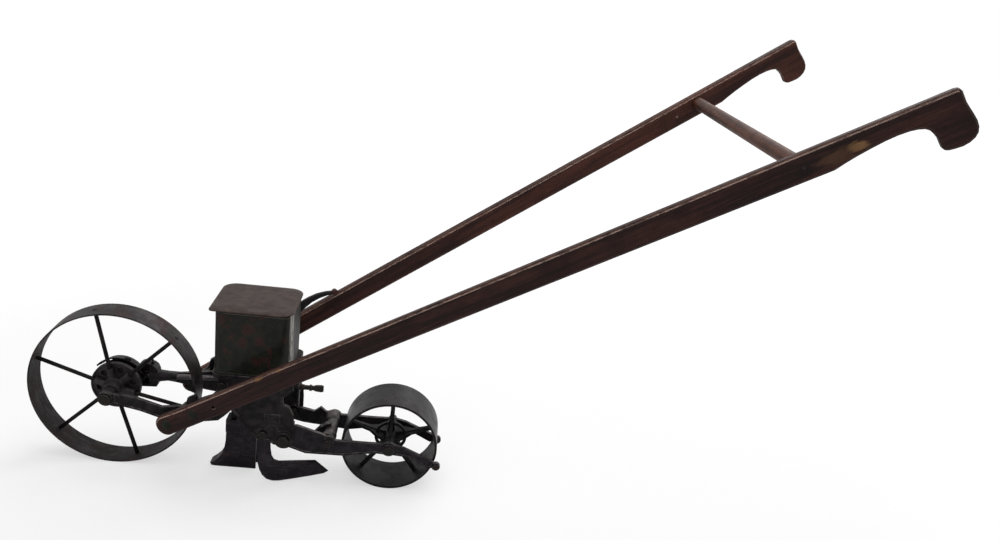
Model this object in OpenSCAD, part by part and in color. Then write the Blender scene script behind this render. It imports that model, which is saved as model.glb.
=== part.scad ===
// Walk-behind seed planter, in millimetres.
// X points from the front wheel to the handles, Y to the machine's right, Z up.
// The origin is on the ground, midway along the machine's whole length.

/* [Layout] */
// Distance from the front axle to the rear axle
wheelbase = 518.5; // [500:0.5:540]
// Half the distance between the inner faces of the two side frames
frame_in_y = 54; // [54:0.5:60]
// Thickness of each side frame
frame_t = 7; // [6:0.5:9]
// Distance from the front axle back to the feed throat's centre
feed_x = 262; // [256:0.5:268]
// Clearance of a part that turns on or slides along another
run_gap = 0.05; // [0.03:0.01:0.1]
// Gap left between two parts that are seated on each other at an angle
seat_gap = 0.2; // [0.1:0.05:0.3]

/* [Front wheel] */
// Outside diameter of the front rim
front_d = 304.8; // [296:0.4:312]
// Width of the front rim
front_w = 51; // [44:0.5:54]
// Thickness of the front rim's steel band
front_rim_t = 3; // [2:0.25:4]
// Number of spokes in the front wheel
front_spokes_n = 6; // [5:1:8]
// Diameter of a front spoke
spoke_d = 7.5; // [6.5:0.25:8]
// Diameter of the front axle
axle_d = 16; // [14:0.5:17]
// Radius of the hub's flange
hub_flange_r = 45.5; // [43:0.5:47]
// Radius of the hub's boss
hub_boss_r = 15; // [14:0.5:17]

/* [Gears] */
// Number of teeth on the wheel's crown gear
wheel_teeth = 28; // [28:1:28]
// Number of teeth on each pinion
pinion_teeth = 8; // [8:1:8]
// Number of teeth on the agitator's crown gear
agitator_teeth = 20; // [20:1:20]
// Pitch radius of each pinion
pinion_r = 10.57; // [10.5:0.01:10.65]
// Distance of the drive shaft from the machine's middle
shaft_y = 40; // [39:0.25:40.5]
// Diameter of the drive shaft
shaft_d = 9.5; // [8:0.25:10]
// Height of the agitator's shaft
agitator_z = 166; // [164:0.5:168]

/* [Hopper] */
// Length of the hopper box
hopper_l = 135; // [126:1:138]
// Width of the hopper box
hopper_w = 129; // [124:1:132]
// Height of the hopper box
hopper_h = 124; // [110:1:140]
// Thickness of the hopper's sheet
hopper_t = 2; // [1.5:0.25:2.5]
// Height of the hopper's floor above the ground
floor_z = 226; // [224:0.5:228]

/* [Seed feed] */
// Diameter of the feed hole
feed_hole_d = 8; // [6:0.25:8]
// Thickness of the feed gate
gate_t = 3; // [2.5:0.25:3.5]
// Width of the feed gate
gate_w = 18; // [16:0.5:19]
// Outside diameter of the seed spout
spout_d = 16; // [14:0.5:16.5]
// Height of the seed spout's lower end
spout_low_z = 78; // [70:0.5:82]

/* [Opener] */
// Thickness of the opener shoe
opener_t = 26; // [24:0.5:28]
// Width of the opener's square standard
standard_w = 10; // [9:0.25:11]

/* [Rear frame and wheel] */
// Outside diameter of the rear wheel
rear_d = 182; // [176:0.5:184]
// Width of the rear wheel's rim
rear_w = 87; // [80:0.5:88]
// Thickness of the rear wheel's rim
rear_rim_t = 4.5; // [4:0.25:6]
// Number of spokes in the rear wheel
rear_spokes_n = 5; // [4:1:6]
// Diameter of the rear axle
rear_axle_d = 12; // [10:0.5:13]
// Thickness of each rear arm
arm_t = 7; // [6:0.25:7]
// How far the rear frame can drop, in degrees
arm_drop = 10; // [8:0.5:11]
// Diameter of the rear frame's pivot bolts
pivot_d = 12; // [10:0.5:13]

/* [Handles] */
// Thickness of each handle
handle_t = 18; // [16:0.5:20]
// Chamfer along the edges of each handle
handle_chamfer = 3.5; // [2.5:0.25:5]
// Angle at which each handle splays outwards
handle_splay = 12.13; // [11.5:0.05:12.5]
// Half the distance between the handles' middles, taken forward to the front axle
handle_y0 = 59.1; // [58.5:0.1:61]
// Diameter of the wooden crosspiece
crosspiece_d = 24.5; // [20:0.5:26]
// Diameter of the handle bolts
handle_bolt_d = 8; // [7:0.25:9]

/* [Hidden] */
$fn = 64;

// Colours of the finishes
iron = "#3a393c";
worn_iron = "#55524f";
rust_iron = "#4a3f3a";
bright_steel = "#8c8a88";
green_paint = "#4a4f42";
lid_metal = "#857c79";
wood = "#5a3a33";

// The handles' line, seen from the side: height of the underside and of the top at the axle, and slopes
under_z0 = 27.9;
under_slope = 0.6531;
top_z0 = 70;
top_slope = 0.6616;
cos_splay = cos(handle_splay);
function under_z(u) = under_z0 + under_slope * u * cos_splay;
function top_z(u) = top_z0 + top_slope * u * cos_splay;

// Places along the machine, from the front axle
grip_u = 1328;
front_r = front_d / 2;
reach_x = grip_u * cos_splay + (handle_t / 2 - handle_chamfer) * sin(handle_splay);
mid_x = (reach_x - front_r) / 2;
axle_x = -mid_x;
axle_z = front_r;
rear_x = axle_x + wheelbase;
rear_r = rear_d / 2;
throat_x = axle_x + feed_x;
frame_out_y = frame_in_y + frame_t;
eps = 0.01;

// Drive line: it passes through the front axle's and the agitator's centres
drive_tilt = atan((agitator_z - axle_z) / feed_x);
drive_len = sqrt(feed_x * feed_x + pow(agitator_z - axle_z, 2));
pinion_tip_r = pinion_r + 1.63;
pinion_root_r = pinion_r - 2.97;
tooth_base = 4;
tooth_tip = 2;
crown_root_y = shaft_y - pinion_tip_r - 0.8;
crown_tip_y = shaft_y - 9;
crown_plate_t = 4.5;
tooth_face_w = 6;
pinion_face_w = 7;
wheel_gear_r = pinion_r * wheel_teeth / pinion_teeth;
agitator_gear_r = pinion_r * agitator_teeth / pinion_teeth;
shaft_r = shaft_d / 2;
axle_r = axle_d / 2;

// Places a child with its X axis along the drive line, from the front axle's centre
module on_drive_line(along) {
    translate([axle_x, shaft_y, axle_z])
        rotate([0, -drive_tilt, 0])
        translate([along, 0, 0])
        children();
}

// A cylinder along Y between two Y values, at the local X and Z of its centre
module rod_y(x, z, r, y0, y1) {
    translate([x, y1, z])
        rotate([90, 0, 0])
        cylinder(r = r, h = y1 - y0);
}

// A plate between two Y values, with its outline in X and Z
module plate_y(y0, y1) {
    translate([0, y1, 0])
        rotate([90, 0, 0])
        linear_extrude(y1 - y0)
        children();
}

// A hexagon head or nut along Y
module hex_y(x, z, across, y0, y1) {
    translate([x, y1, z])
        rotate([90, 0, 0])
        cylinder(d = across / cos(30), h = y1 - y0, $fn = 6);
}

function arc(cx, cz, r, a0, a1, n) = [for (i = [0:n]) let (a = a0 + (a1 - a0) * i / n) [cx + r * cos(a), cz + r * sin(a)]];

// FRONT WHEEL

hub_near_y = -34;
hub_far_y = crown_root_y - crown_plate_t;
flange_y0 = -3;
flange_t = 6;
flange_lip = 2.5;
flange_hole_at = 31;
flange_hole_r = 6;
spoke_hub_y = -11;
spoke_turn = 14;
spoke_in_r = 20;
socket_out_r = 37;
spoke_lean = atan(-spoke_hub_y / (front_r - spoke_in_r));
spoke_len = (front_r - spoke_in_r) / cos(spoke_lean);
tenon_d = spoke_d - 2;
rivet_stop = 0.4;
tenon_gap = 0.1;

// Places a child with its Z axis along spoke number i, from the spoke's hub end
module on_spoke(i) {
    translate([axle_x, 0, axle_z])
        rotate([0, i * 360 / front_spokes_n - spoke_turn, 0])
        translate([0, spoke_hub_y, spoke_in_r])
        rotate([-spoke_lean, 0, 0])
        children();
}

module front_rim() {
    color(iron)
    difference() {
        translate([axle_x, 0, axle_z])
            rotate([90, 0, 0])
            rotate_extrude($fn = 128)
            translate([front_r - front_rim_t, -front_w / 2])
            square([front_rim_t, front_w]);
        for (i = [0:front_spokes_n - 1])
            on_spoke(i)
            translate([0, 0, spoke_len - 2 * front_rim_t])
            cylinder(d = tenon_d + 2 * tenon_gap, h = 4 * front_rim_t);
    }
}

module front_spokes() {
    color(iron)
    for (i = [0:front_spokes_n - 1])
        on_spoke(i) {
            cylinder(d = spoke_d, h = spoke_len - front_rim_t - rivet_stop);
            cylinder(d = tenon_d, h = spoke_len - rivet_stop);
        }
}

module front_hub() {
    color(worn_iron)
    difference() {
        union() {
            rod_y(axle_x, axle_z, hub_boss_r, hub_near_y, hub_far_y);
            difference() {
                rod_y(axle_x, axle_z, hub_flange_r, flange_y0 - flange_lip, flange_y0 + flange_t);
                rod_y(axle_x, axle_z, hub_flange_r - flange_lip, flange_y0 - 10, flange_y0);
                for (i = [0:front_spokes_n - 1])
                    translate([axle_x, 0, axle_z])
                    rotate([0, (i + 0.5) * 360 / front_spokes_n - spoke_turn, 0])
                    rod_y(0, flange_hole_at, flange_hole_r, flange_y0 - 10, flange_y0 + 10);
            }
            rod_y(axle_x, axle_z, hub_boss_r + 5, spoke_hub_y - 8, flange_y0 + eps);
            for (i = [0:front_spokes_n - 1])
                on_spoke(i)
                translate([0, 0, -5])
                cylinder(d = spoke_d + 6, h = socket_out_r - spoke_in_r + 5);
        }
        rod_y(axle_x, axle_z, axle_r + run_gap, hub_near_y - 1, hub_far_y + 1);
        at_crown_screws()
            rod_y(0, 0, crown_screw_d / 2, crown_root_y - crown_recess - crown_screw_len, 60);
        for (i = [0:front_spokes_n - 1])
            on_spoke(i)
            translate([0, 0, -tenon_gap])
            cylinder(d = spoke_d + 2 * tenon_gap, h = hub_flange_r);
    }
}

// A crown gear whose teeth face +Y; the tooth gap that meets the pinion lies at mesh_angle from +X
module crown(x, z, teeth, mean_r, bore_r, mesh_angle) {
    difference() {
        union() {
            rod_y(x, z, mean_r + tooth_face_w / 2, crown_root_y - crown_plate_t, crown_root_y);
            for (i = [0:teeth - 1])
                translate([x, crown_root_y, z])
                rotate([0, -mesh_angle - (i + 0.5) * 360 / teeth, 0])
                translate([mean_r - tooth_face_w / 2, 0, 0])
                rotate([90, 0, 90])
                linear_extrude(tooth_face_w)
                polygon([
                    [-eps, -tooth_base / 2], [crown_tip_y - crown_root_y, -tooth_tip / 2],
                    [crown_tip_y - crown_root_y, tooth_tip / 2], [-eps, tooth_base / 2]
                ]);
        }
        rod_y(x, z, bore_r, crown_root_y - crown_plate_t - 1, crown_root_y + 1);
    }
}

crown_screw_d = 3;
crown_recess = 1.5;
crown_screw_len = 14;

// Places the three screws that hold the crown gear on the hub's end
module at_crown_screws() {
    for (a = [30, 150, 270])
        translate([axle_x, 0, axle_z])
        rotate([0, a, 0])
        translate([0, 0, (axle_r + hub_boss_r) / 2])
        children();
}

module crown_gear() {
    color(worn_iron)
    difference() {
        crown(axle_x, axle_z, wheel_teeth, wheel_gear_r, axle_r + run_gap, drive_tilt);
        rod_y(axle_x, axle_z, wheel_gear_r - tooth_face_w / 2 - 3, crown_root_y - crown_recess, crown_root_y + 1);
        at_crown_screws()
            rod_y(0, 0, crown_screw_d / 2, 0, 60);
    }
}

module crown_screws() {
    color(bright_steel)
    at_crown_screws() {
        rod_y(0, 0, crown_screw_d / 2, crown_root_y - crown_recess - crown_screw_len, crown_root_y - crown_recess);
        rod_y(0, 0, crown_screw_d, crown_root_y - crown_recess, crown_root_y - crown_recess + 1.2);
    }
}

// FRONT AXLE AND DRIVE

nut_t = 8;
head_t = 3.5;
axle_boss_t = 1.5;
spacer_t = 4;

module front_axle() {
    color(worn_iron) {
        rod_y(axle_x, axle_z, axle_r, -frame_out_y - axle_boss_t, frame_out_y + axle_boss_t + nut_t + 3);
        rod_y(axle_x, axle_z, axle_r + 2.5, -frame_out_y - axle_boss_t - head_t, -frame_out_y - axle_boss_t);
    }
}

module front_axle_nut() {
    color(worn_iron)
    difference() {
        hex_y(axle_x, axle_z, 24, frame_out_y + axle_boss_t, frame_out_y + axle_boss_t + nut_t);
        rod_y(axle_x, axle_z, axle_r, frame_out_y, frame_out_y + 20);
    }
}

module axle_spacers() {
    spans = [[-frame_in_y, hub_near_y - 0.3], [crown_root_y + 0.3, frame_in_y]];
    color(worn_iron)
    for (s = spans)
        difference() {
            rod_y(axle_x, axle_z, axle_r + spacer_t, s[0], s[1]);
            rod_y(axle_x, axle_z, axle_r, s[0] - 1, s[1] + 1);
        }
}

guard_in_r = wheel_gear_r + tooth_face_w / 2 + 2;
guard_t = 2.5;
guard_y0 = 8;

// The guard widens towards its near edge. Its web reaches down beside the gear to a foot on the right side
// frame, and a hood reaches back over the pinion to the same frame
module gear_guard() {
    guard_front = 142;
    guard_back = 35;
    guard_flare = 6;
    hood_y = -7;
    hood_z = 13.5;
    hood_end = 49.7;
    web_y = crown_tip_y + 1;
    web_r = guard_in_r + guard_t;
    color(iron)
    translate([0, shaft_y, 0])
        on_drive_line(0)
        translate([0, -shaft_y, 0])
        difference() {
            plate_y(hood_y, frame_in_y - shaft_y)
                polygon([[25, -14], [31, -20], [hood_end, -20], [hood_end, 28], each arc(44, 10, 19, 72, 180, 12)]);
            plate_y(hood_y - 1, frame_in_y)
                polygon([[31, -hood_z], [hood_end + 1, -hood_z], [hood_end + 1, hood_z], [31, hood_z]]);
        }
    color(iron)
    translate([axle_x, 0, axle_z]) {
        rotate([90, 0, 0])
            rotate([0, 0, guard_back])
            rotate_extrude(angle = guard_front - guard_back, $fn = 96)
            polygon([
                [web_r, -web_y - 0.5], [web_r + guard_flare, -guard_y0],
                [guard_in_r + guard_flare, -guard_y0], [guard_in_r, -web_y - 0.5]
            ]);
        plate_y(web_y, web_y + 3)
            polygon([each arc(0, 0, guard_in_r + 1, guard_back + 3, 118, 16), [-12, 14], [12, 14], [17, 26]]);
        plate_y(web_y, frame_in_y)
            polygon([[-12, 14], [12, 14], [12, 20], [-12, 20]]);
        plate_y(frame_in_y - 3, frame_in_y)
            polygon([[-12, 13], [12, 13], [12, 24], [-12, 24]]);
        plate_y(guard_y0 + 1, guard_y0 + 7)
            polygon([[10, guard_in_r + 4.5], [22, guard_in_r - 0.5], [22, guard_in_r + 8], [12, guard_in_r + 9]]);
    }
}

front_pinion_at = wheel_gear_r - pinion_face_w / 2;
rear_pinion_at = drive_len - agitator_gear_r - pinion_face_w / 2;
front_bearing_at = 50;
front_bearing_len = 50;
rear_bearing_at = 196;
rear_bearing_len = 24;

module drive_shaft() {
    color(bright_steel)
    difference() {
        on_drive_line(front_pinion_at - 2)
            rotate([0, 90, 0])
            cylinder(r = shaft_r, h = rear_pinion_at + pinion_face_w - front_pinion_at + 4);
        for (at = [front_collar_at, rear_collar_at])
            on_drive_line(at + collar_w / 2)
                rotate([90, 0, 0])
                cylinder(d = 3, h = 30, center = true);
    }
}

// Pinion outline: a root disc with straight-sided teeth; one tooth points towards the crown gear
module pinion_outline() {
    circle(r = pinion_root_r);
    for (i = [0:pinion_teeth - 1])
        rotate(i * 360 / pinion_teeth)
        polygon([
            [0, -tooth_base / 2], [pinion_root_r, -tooth_base / 2], [pinion_tip_r, -tooth_tip / 2],
            [pinion_tip_r, tooth_tip / 2], [pinion_root_r, tooth_base / 2], [0, tooth_base / 2]
        ]);
}

// A pinion with a collar on the side that faces away from its crown gear's centre
collar_w = 5;
collar_r = pinion_root_r - 0.2;
module pinion(at, collar_side) {
    collar_x = collar_side > 0 ? pinion_face_w - eps : -collar_w + eps;
    color(worn_iron)
    on_drive_line(at)
        difference() {
            union() {
                rotate([90, 0, 90])
                    linear_extrude(pinion_face_w)
                    pinion_outline();
                translate([collar_side > 0 ? 1 : -collar_w + eps, 0, 0])
                    rotate([0, 90, 0])
                    cylinder(r = collar_r, h = collar_side > 0 ? pinion_face_w - 1 - eps + collar_w : collar_w);
            }
            translate([-10, 0, 0])
                rotate([0, 90, 0])
                cylinder(r = shaft_r + run_gap, h = 40);
            translate([collar_x + collar_w / 2, 0, 0])
                rotate([90, 0, 0])
                cylinder(d = 3, h = 30, center = true);
        }
}

front_collar_at = front_pinion_at + pinion_face_w - eps;
rear_collar_at = rear_pinion_at - collar_w + eps;

module front_pinion() pinion(front_pinion_at, 1);

module rear_pinion() pinion(rear_pinion_at, -1);

module pinion_pins() {
    color(bright_steel)
    for (at = [front_collar_at, rear_collar_at])
        on_drive_line(at + collar_w / 2)
            rotate([90, 0, 0])
            cylinder(d = 2.8, h = 2 * pinion_root_r + 1, center = true);
}

// The space that the drive shaft runs in, along a bearing of the given length
module shaft_bore(len) {
    translate([-5, 0, 0])
        rotate([0, 90, 0])
        cylinder(r = shaft_r + run_gap, h = len + 10);
}

// The front bearing's hump is seated on the right side frame's inner face, behind the hood, and tapers to a tube
module front_bearing() {
    color(iron)
    on_drive_line(front_bearing_at)
        difference() {
            union() {
                plate_y(-7, frame_in_y - shaft_y)
                    polygon([[0, -20], [0, 28], [7, 25], [13, 20], [16, 11], [16, -10], [12, -20]]);
                rotate([0, 90, 0])
                    cylinder(r1 = 13, r2 = 6.5, h = front_bearing_len);
            }
            shaft_bore(front_bearing_len);
            translate([oil_cup_at, 0, 0])
                cylinder(d = 4, h = 40);
        }
}

// The rear bearing's foot is seated on the same face
module rear_bearing() {
    bearing_r = 13;
    foot_t = 4;
    color(iron)
    on_drive_line(rear_bearing_at)
        difference() {
            union() {
                rotate([0, 90, 0])
                    cylinder(r = bearing_r, h = rear_bearing_len);
                plate_y(0, frame_in_y - shaft_y)
                    polygon([[0, -10], [rear_bearing_len, -10], [rear_bearing_len, 10], [0, 10]]);
                plate_y(frame_in_y - shaft_y - foot_t, frame_in_y - shaft_y)
                    polygon([[0, -13], [rear_bearing_len, -13], [rear_bearing_len, 13], [0, 13]]);
            }
            shaft_bore(rear_bearing_len);
        }
}

oil_cup_at = 6;
oil_cup_z = 28;

// Oil nipple, screwed into the top of the front bearing's hump
module oil_cup() {
    color(bright_steel)
    on_drive_line(front_bearing_at + oil_cup_at) {
        translate([0, 0, shaft_r + 1])
            cylinder(d = 3.8, h = oil_cup_z - shaft_r);
        translate([0, 0, oil_cup_z - eps])
            cylinder(d = 7, h = 3);
        translate([0, 0, oil_cup_z + 3 - 2 * eps])
            cylinder(d1 = 5, d2 = 3, h = 4);
    }
}

// SIDE FRAMES

pivot_x = 322;
pivot_z = 98;
cover_bolt_x = 284;
cover_bolt_z = 107;
base_z = floor_z - 8;
lever_x = 300;
lever_z = 115;
plate_low_z = 143;
gate_z0 = plate_low_z - 0.2 - gate_t;
gate_pin_z = gate_z0 + gate_t / 2;
gate_pin_r = 3;
lever_arm = gate_pin_z - lever_z;
lever_swing = 18;
gate_travel = 2 * lever_arm * tan(lever_swing / 2);
gate_pin_x = lever_x + gate_travel / 2;
pad_xs = [208, 306];
pad_z = 202;
m6 = 6;

// Outline shared by both side frames, seen from the side, from the front axle
module frame_outline(top_dip, low_rise) {
    polygon([
        [-6, 141], [9, 145], [27, 141], [62, 134 + low_rise / 2], [94, 124 + low_rise], [120, 122 + 0.8 * low_rise],
        [152, 123 + 0.3 * low_rise], [179, 124], [202, 128],
        [213, 138], [225, 151], [236, 140], [248, 118], [262, 104], [278, 94], [296, 92], [306, 86],
        [322, 98], [340, 98], [340, 130], [338, 150], [330, 166], [318, 172], [318, 185], [336, 200],
        [334, base_z], [204, base_z], [200, 190], [185, 172], [154, 166], [143, 152 + top_dip],
        [128, 150 + top_dip], [100, 146 + top_dip], [80, 152 + top_dip / 2], [54, 160], [27, 163], [9, 163], [-6, 163]
    ]);
    translate([0, axle_z])
        circle(r = 14);
    translate([pivot_x, pivot_z])
        circle(r = 18);
    translate([cover_bolt_x, cover_bolt_z])
        circle(r = 13);
}

// Shallow panels in the outer faces of frames and arms leave a raised border, and bosses at the bolts
panel_border = 3.5;
panel_depth = 1.2;

module frame_panel(top_dip, low_rise) {
    difference() {
        offset(delta = -panel_border)
            frame_outline(top_dip, low_rise);
        translate([0, axle_z])
            circle(r = 17);
        translate([pivot_x, pivot_z])
            circle(r = 19);
        translate([cover_bolt_x, cover_bolt_z])
            circle(r = 11);
        translate([lever_x, lever_z])
            circle(r = 12);
        translate([lever_x - 14, gate_pin_z - gate_pin_r - 5])
            square([28, 2 * gate_pin_r + 10]);
        for (x = pad_xs)
            translate([x, pad_z])
            circle(r = 10);
    }
}

seat_t = 6;
bolt_us = [123.5, 172.8];
function mid_z(u) = (under_z(u) + top_z(u)) / 2;

// Places a child in the right handle's own plane: X along it, Y out from its middle
module in_handle_plane() {
    translate([axle_x, handle_y0, 0])
        rotate([0, 0, handle_splay])
        children();
}

// The side frame on the machine's right, with its slanting seat for the handle; its front arm's edges differ
module side_frame(top_dip, low_rise) {
    seat_y = -handle_t / 2 - seat_gap;
    difference() {
        union() {
            translate([axle_x, 0, 0])
                difference() {
                    plate_y(frame_in_y, frame_out_y)
                        frame_outline(top_dip, low_rise);
                    plate_y(frame_out_y - panel_depth, frame_out_y + 1)
                        frame_panel(top_dip, low_rise);
                }
            rod_y(axle_x, axle_z, 13, frame_out_y - eps, frame_out_y + axle_boss_t);
            rod_y(axle_x + pivot_x, pivot_z, 15, frame_out_y - eps, frame_out_y + 3);
            in_handle_plane()
                plate_y(seat_y - seat_t, seat_y)
                polygon([
                    [108, 118], [122, 109], [140, under_z(140) + 1], [196, under_z(196) + 1],
                    [204, 176], [194, top_z(194) - 2], [172, top_z(172)], [168, top_z(168) + 12],
                    [154, top_z(154) + 12], [150, top_z(150)], [118, 139], [108, 132]
                ]);
            intersection() {
                in_handle_plane()
                    plate_y(-60, seat_y - 1)
                    polygon([[139, 130], [153, 130], [153, 164], [139, 160]]);
                translate([axle_x, frame_out_y - panel_depth - 0.5, 0])
                    cube([400, 60, 300]);
            }
            intersection() {
                in_handle_plane()
                    plate_y(-60, seat_y - 1)
                    polygon([[188, 160], [200, 168], [200, 182], [188, 176]]);
                translate([axle_x, frame_out_y - panel_depth - 0.5, 0])
                    cube([400, 60, 300]);
            }
        }
        rod_y(axle_x, axle_z, axle_r, 0, frame_out_y + 20);
        rod_y(axle_x + pivot_x, pivot_z, pivot_d / 2, 0, frame_out_y + 20);
        for (x = pad_xs)
            rod_y(axle_x + x, pad_z, m6 / 2 + 0.2, 0, frame_out_y + 20);
        for (u = bolt_us)
            in_handle_plane()
                rod_y(u, mid_z(u), handle_bolt_d / 2 + 0.2, seat_y - seat_t - 5, seat_y + 5);
    }
}

// Two lugs on the left side frame catch the rear arm: one carries it at rest, one ends its drop
stop_gap = 0.3;
stop_y = frame_in_y - 7.2;
toe_x = 301;
toe_z = 100;
head_top_z = 125.1;
drop_stop_z = pivot_z + (pivot_x - toe_x) * sin(arm_drop) + (toe_z - pivot_z) * cos(arm_drop) + stop_gap;

module left_side_frame() {
    color(iron)
    difference() {
        union() {
            mirror([0, 1, 0])
                side_frame(0, 0);
            translate([axle_x + 328, -frame_in_y - eps, head_top_z + stop_gap])
                cube([12, frame_in_y - stop_y + eps, 7]);
            translate([axle_x + 299, -frame_in_y - eps, drop_stop_z])
                cube([7, frame_in_y - stop_y + eps, 7]);
        }
        rod_y(axle_x + cover_bolt_x, cover_bolt_z, 4 + run_gap, -frame_out_y - 1, 0);
    }
}

module right_side_frame() {
    color(iron)
    difference() {
        side_frame(12, 14);
        translate([axle_x + lever_x - 10, 0, gate_pin_z - gate_pin_r - 1])
            cube([20, 100, 2 * gate_pin_r + 2]);
        rod_y(axle_x + lever_x, lever_z, 4, 0, 100);
    }
}

// HOPPER BASE, HOPPER AND LID

throat_l = 60;
throat_w = 42;
throat_t = 5;
base_l = hopper_l + 11;
base_w = hopper_w + 7;
base_x = throat_x;
socket_x = axle_x + 219;
socket_z0 = 128;
socket_gap = 0.3;
screw_axis_y = -20;
screw_axis_z = 190;
lug_x0 = axle_x + 316;
lug_x1 = axle_x + 328;
agitator_r = 4;

module rounded_box_outline(l, w, r) {
    for (sx = [-1, 1], sy = [-1, 1])
        translate([sx * (l / 2 - r), sy * (w / 2 - r)])
        circle(r = r);
    square([l - 2 * r, w], center = true);
    square([l, w - 2 * r], center = true);
}

module hopper_base() {
    color(iron)
    difference() {
        union() {
            translate([base_x, 0, base_z])
                linear_extrude(floor_z - base_z)
                rounded_box_outline(base_l, base_w, 14);
            translate([throat_x - throat_l / 2, -throat_w / 2, plate_low_z + 3])
                cube([throat_l, throat_w, base_z - plate_low_z - 3 + eps]);
            translate([socket_x - 11, -14, socket_z0])
                cube([22, 28, base_z - socket_z0 + eps]);
            translate([lug_x0, screw_axis_y - 8, screw_axis_z - 8])
                cube([lug_x1 - lug_x0, 16, base_z - screw_axis_z + 8 + eps]);
            for (x = pad_xs, s = [-1, 1])
                translate([axle_x + x - 9, s > 0 ? frame_in_y - 6 : -frame_in_y, pad_z - 10])
                cube([18, 6, base_z - pad_z + 10 + eps]);
        }
        translate([throat_x - throat_l / 2 + throat_t, -throat_w / 2 + throat_t, 0])
            cube([throat_l - 2 * throat_t, throat_w - 2 * throat_t, 400]);
        translate([socket_x - standard_w / 2 - socket_gap, -8 - socket_gap, 0])
            cube([standard_w + 2 * socket_gap, 16 + 2 * socket_gap, 212]);
        rod_y(throat_x, agitator_z, agitator_r + run_gap, -50, 50);
        translate([lug_x0 - 1, screw_axis_y, screw_axis_z])
            rotate([0, 90, 0])
            cylinder(r = 3 + run_gap, h = 20);
        translate([socket_x - 20, 0, 142])
            rotate([0, 90, 0])
            cylinder(d = 8, h = 20 - standard_w / 2);
        for (x = pad_xs)
            rod_y(axle_x + x, pad_z, m6 / 2 + 0.2, -frame_in_y - 1, frame_in_y + 1);
        for (p = spout_screw_ps)
            translate([p[0], p[1], plate_low_z])
            cylinder(d = 3, h = 12);
        for (p = hopper_screw_ps)
            translate([p[0], p[1], base_z - 1])
            cylinder(d = 4.2, h = 20);
    }
}

hopper_x = throat_x - 3;
hopper_r = 15;
flange_w = 9;
spout_screw_ps = [for (sx = [-1, 1], sy = [-1, 1]) [throat_x + sx * 22, sy * (throat_w - throat_t) / 2]];
hopper_screw_ps = [for (sx = [-1, 1], sy = [-1, 1]) [hopper_x + sx * (hopper_l / 2 - 21), sy * (hopper_w / 2 - hopper_t - 6)]];

// Sheet box with rolled beads at its foot and rim, and an inward flange that is screwed to the base
module hopper() {
    bead_r = 1.6;
    color(green_paint)
    difference() {
        union() {
            translate([hopper_x, 0, floor_z])
                linear_extrude(hopper_h)
                rounded_box_outline(hopper_l, hopper_w, hopper_r);
            translate([hopper_x, 0, floor_z])
                linear_extrude(3)
                rounded_box_outline(hopper_l + 2.4, hopper_w + 2.4, hopper_r + 1.2);
            translate([hopper_x, 0, floor_z + hopper_h - 3])
                linear_extrude(3)
                rounded_box_outline(hopper_l + 2 * bead_r, hopper_w + 2 * bead_r, hopper_r + bead_r);
        }
        translate([hopper_x, 0, floor_z + hopper_t])
            linear_extrude(hopper_h)
            rounded_box_outline(hopper_l - 2 * hopper_t, hopper_w - 2 * hopper_t, hopper_r - hopper_t);
        translate([hopper_x, 0, floor_z - 1])
            linear_extrude(hopper_h)
            rounded_box_outline(hopper_l - 2 * (hopper_t + flange_w), hopper_w - 2 * (hopper_t + flange_w), 5);
        for (p = hopper_screw_ps)
            translate([p[0], p[1], floor_z - 1])
            cylinder(d = 4.2, h = 6);
    }
}

module hopper_screws() {
    color(bright_steel)
    for (p = hopper_screw_ps) {
        translate([p[0], p[1], base_z])
            cylinder(d = 4, h = floor_z + hopper_t - base_z + eps);
        translate([p[0], p[1], floor_z + hopper_t])
            cylinder(d = 8, h = 2.5);
    }
}

// Sloping sheet inside the hopper that leads the seed to the throat
module hopper_funnel() {
    funnel_t = 1.5;
    rim_z = floor_z + 42;
    foot_z = floor_z + 0.2;
    side_gap = hopper_t + 0.3;
    module shell(grow, z_shift) {
        hull() {
            translate([hopper_x - hopper_l / 2 + side_gap + 4 - grow, -hopper_w / 2 + side_gap + 4 - grow, rim_z + z_shift])
                cube([hopper_l - 2 * (side_gap + 4 - grow), hopper_w - 2 * (side_gap + 4 - grow), 0.1]);
            translate([throat_x - throat_l / 2 + throat_t - grow, -throat_w / 2 + throat_t - grow, foot_z + z_shift])
                cube([throat_l - 2 * throat_t + 2 * grow, throat_w - 2 * throat_t + 2 * grow, 0.1]);
        }
    }
    color(worn_iron)
    intersection() {
        difference() {
            shell(funnel_t, 0);
            shell(0, 0.2);
            shell(-0.02, -0.2);
        }
        translate([hopper_x, 0, floor_z])
            linear_extrude(hopper_h)
            rounded_box_outline(hopper_l - 2 * side_gap, hopper_w - 2 * side_gap, hopper_r - side_gap);
    }
}

lid_t = 1.8;
lid_l = hopper_l + 13;
lid_w = hopper_w + 10;
lid_corner_r = 26;
lid_front_r = 8;
lid_x = hopper_x - 2.7;
lid_z = floor_z + hopper_h + 0.3;

// Sheet lid with three round corners, a sharper front left corner and a locating skirt inside the hopper
module lid_outline(grow) {
    l = lid_l / 2 + grow;
    w = lid_w / 2 + grow;
    polygon(concat(
        arc(l - lid_corner_r, w - lid_corner_r, lid_corner_r, 0, 90, 12),
        arc(-l + lid_corner_r, w - lid_corner_r, lid_corner_r, 90, 180, 12),
        arc(-l + lid_front_r, -w + lid_front_r, lid_front_r, 180, 270, 8),
        arc(l - lid_corner_r, -w + lid_corner_r, lid_corner_r, 270, 360, 12)
    ));
}

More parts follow.
